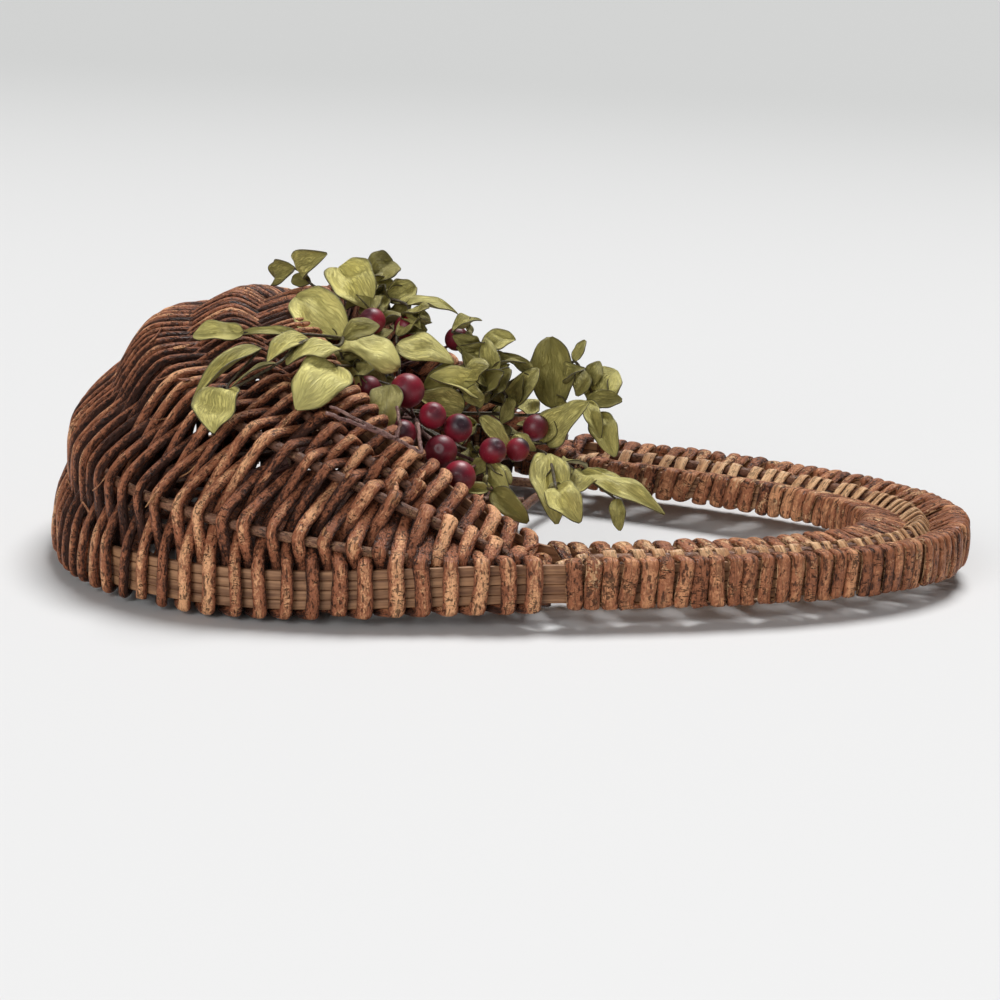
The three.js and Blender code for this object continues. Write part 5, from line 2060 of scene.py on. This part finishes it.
SPRIGS: dict[str, tuple[float, tuple[Branch, ...]]] = {
    "leaf_sprig_lip": (3.6, (
        Branch((26, -40, -10), (
            Leaf((22, -50, -2), (-2, -26, 10), 18, (-0.4, -0.7, 0.6), cup=0.35, curl=0.12, tone=0.1),
            Leaf((21, -71, -2), (7, -89, -5), 17, (-0.2, -0.6, 0.8), cup=-0.25, curl=0.16, tone=0.05),
            Leaf((13, -75, 0), (0, -91, -5), 10, SKY, tone=0.15),
            Leaf((4, -93, -6), (-10, -107, -12), 2, SKY, tone=0.6),
            Leaf((-11, -108, -14), (-13, -122, -26), 18, (-0.2, -0.8, 0.6), cup=0.45, tone=0.15),
            Leaf((-3, -87, -2), (-23, -112, -17), 7, (-0.3, -0.7, 0.7), cup=0.6, tone=0.3),
        )),
        Branch((24, -46, -4), (
            Leaf((7, -67, 1), (-15, -66, 0), 4, (-0.1, -0.6, 0.8), cup=0.4, curl=0.05, tone=0.25),
            Leaf((-13, -66, 0), (-32, -65, -2), 9, (-0.2, -0.7, 0.6), cup=0.3, curl=0.05, tone=0.05),
        )),
        Branch((28, -46, -14), (
            Leaf((23, -79, -8), (14, -108, -18), 20, UPRIGHT, cup=-0.3, curl=0.1, tone=0.1),
        )),
        Branch((28, -40, -8), (
            Leaf((20, -48, -4), (43, -56, -10), 18, RIGHT, cup=-0.25, curl=0.14, tone=0.06),
            Leaf((24, -58, -12), (31, -70, -20), 6, UPRIGHT, tone=0.3),
            Leaf((41, -66, -16), (41, -82, -31), 12, UPRIGHT, cup=0.2, tone=0.85),
        )),
    )),
    "leaf_sprig_crown": (2.0, (
        Branch((30, -12, -8), (
            Leaf((27, -24, 5), (12, -6, 19), 19, (-0.1, -0.8, 0.6), cup=0.6, curl=0.1, tone=0.12),
            Leaf((23, -6, 13), (33, 6, 21), 13, (0.2, -0.9, 0.3), cup=0.4, curl=0.2, tone=0.75),
            Leaf((28, -14, 9), (38, 0, 12), 12, SKY, tone=0.4),
        )),
        Branch((24, 2, 1), (
            Leaf((0, 6, 10), (-8, 9, 11), 6, UPRIGHT, tone=0.95),
            Leaf((-5, 9, 14), (6, 1, 22), 11, UPRIGHT, cup=0.5, curl=0.15, tone=0.3),
            Leaf((-7, 10, 15), (-17, 20, 9), 10, UPRIGHT, cup=0.5, tone=0.6),
        )),
        Branch((36, -10, -3), (
            Leaf((33, -15, 8), (43, -8, 13), 10, UPRIGHT, cup=0.5, tone=0.35),
            Leaf((41, -20, 7), (60, -14, 5), 8, SKY, cup=0.4, tone=0.2),
            Leaf((39, -34, -3), (51, -28, 3), 9, SKY, tone=0.35),
            Leaf((40, -42, -5), (62, -44, -9), 13, (0.1, -0.7, 0.7), cup=-0.2, curl=0.15, tone=0.08),
        )),
    )),
    "leaf_sprig_middle": (1.0, (
        Branch((54, -6, -27), (
            Leaf((74, -24, -27), (80, -20, -13), 10, (-0.4, -0.8, 0.3), cup=0.6, curl=0.15, tone=0.3),
            Leaf((75, -25, -25), (64, -31, -8), 9, UPRIGHT, cup=0.4, tone=0.85),
            Leaf((70, -36, -24), (54, -46, -15), 13, (-0.2, -0.7, 0.7), cup=0.45, tone=0.12),
            Leaf((66, -40, -28), (49, -44, -23), 11, UPRIGHT, cup=0.3, curl=0.12, tone=0.5),
            Leaf((64, -32, -16), (50, -37, -21), 11, UPRIGHT, cup=0.35, tone=0.8),
            Leaf((72, -38, -31), (86, -43, -46), 7, (0.2, -0.8, 0.5), cup=0.5, tone=0.15),
        )),
        Branch((54, -6, -27), (
            Leaf((81, -12, -30), (91, -10, -16), 9, UPRIGHT, cup=0.5, tone=0.5),
            Leaf((75, -20, -19), (71, -18, -4), 8, UPRIGHT, cup=0.6, tone=0.3),
            Leaf((70, -15, -8), (82, -9, -5), 9, (0.2, -0.7, 0.6), cup=0.4, tone=0.15),
            Leaf((59, -22, -2), (69, -17, 3), 8, SKY, cup=0.4, tone=0.3),
            Leaf((89, -5, -19), (78, -10, -11), 5, UPRIGHT, cup=0.5, curl=0.3, tone=0.6),
        )),
    )),
    "leaf_sprig_tall": (0.1, (
        Branch((70, -2, -36), (
            Leaf((98, 0, -33), (94, 6, -6), 18, UPRIGHT, cup=0.35, curl=0.08, tone=0.75),
            Leaf((104, 0, -14), (108, 2, -6), 4, UPRIGHT, tone=0.3),
            Leaf((113, 4, -32), (120, 11, -18), 16, (-0.2, -0.9, 0.4), cup=0.45, curl=0.1, tone=0.2),
            Leaf((110, -2, -29), (116, -12, -41), 7, UPRIGHT, cup=0.4, tone=0.3),
            Leaf((114, 0, -34), (122, -11, -48), 11, UPRIGHT, cup=0.45, curl=0.12, tone=0.15),
        )),
        Branch((70, -8, -40), (
            Leaf((96, -20, -43), (111, -27, -25), 14, (-0.3, -0.9, 0.3), cup=0.3, tone=0.4),
            Leaf((84, -30, -39), (93, -35, -43), 6, UPRIGHT, tone=0.25),
        )),
    )),
    "leaf_sprig_low": (5.9, (
        Branch((64, -18, -47), (
            Leaf((97, -32, -45), (103, -53, -66), 15, UPRIGHT, cup=0.35, curl=0.12, tone=0.15),
            Leaf((102, -50, -54), (112, -63, -63), 13, UPRIGHT, cup=0.35, tone=0.08),
            Leaf((102, -5, -53), (111, 5, -56), 7, SKY, tone=0.3),
            Leaf((111, -25, -54), (128, -20, -57), 7, SKY, tone=0.25),
            Leaf((110, -30, -52), (143, -39, -63), 10, RIGHT, cup=0.3, curl=0.06, tone=0.08),
            Leaf((124, -30, -61), (126, -35, -72), 6, UPRIGHT, tone=0.3),
        )),
        Branch((64, -18, -47), (
            Leaf((77, -60, -44), (86, -69, -54), 7, UPRIGHT, cup=0.3, tone=0.1),
            Leaf((79, -74, -51), (67, -79, -50), 5, UPRIGHT, cup=0.4, tone=0.1),
            Leaf((80, -70, -52), (94, -75, -62), 9, UPRIGHT, cup=0.3, tone=0.7),
        )),
    )),
}

BERRY_TWIGS: tuple[BerryTwig, ...] = (
    BerryTwig(
        "berry_twig_front",
        4.3,
        ((48, -40, -33),),
        (1, 2, 3, 4, 5, 6),
        (
            ((48, -40, -33), (53, -78, -28), (57, -99, -34), (48, -102, -29), (25, -105, -18)),
            ((48, -102, -29), (37, -104, -25), (24, -108, -20)),
            ((48, -102, -29), (49, -98, -25), (47, -93, -19)),
        ),
    ),
    BerryTwig("berry_twig_low", 5.1, ((58, -30, -45), (74, -52, -46)), (7, 8, 9, 10)),
    BerryTwig("berry_twig_back", 2.8, ((38, -20, -17),), (11, 12, 13)),
)


def main() -> None:
    """Builds the pieces in order, then the floor, the lights and the camera."""
    logging.basicConfig(level=logging.INFO, format="%(name)s: %(message)s")
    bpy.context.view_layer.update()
    lines = FrameLines()
    placement = Placement.from_frame(lines, "back_hoop_reed_1", Hoops.reed_thickness / 2)
    finishes = Finishes(Figure())
    hoops = Hoops(lines, placement, finishes)
    hoops.build()
    PocketWeave(hoops).build()
    HandleWeave(hoops).build()
    BackPanel(hoops).build()
    spray = Spray(lines, placement, finishes)
    spray.build(SPRIGS)
    Berries(spray).build(BERRY_TWIGS)
    visual_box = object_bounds()
    middle = tuple(float(x) for x in placement.place(np.zeros(3)))
    Studio(middle, float(visual_box[0].z)).build()


if __name__ == "__main__":
    main()
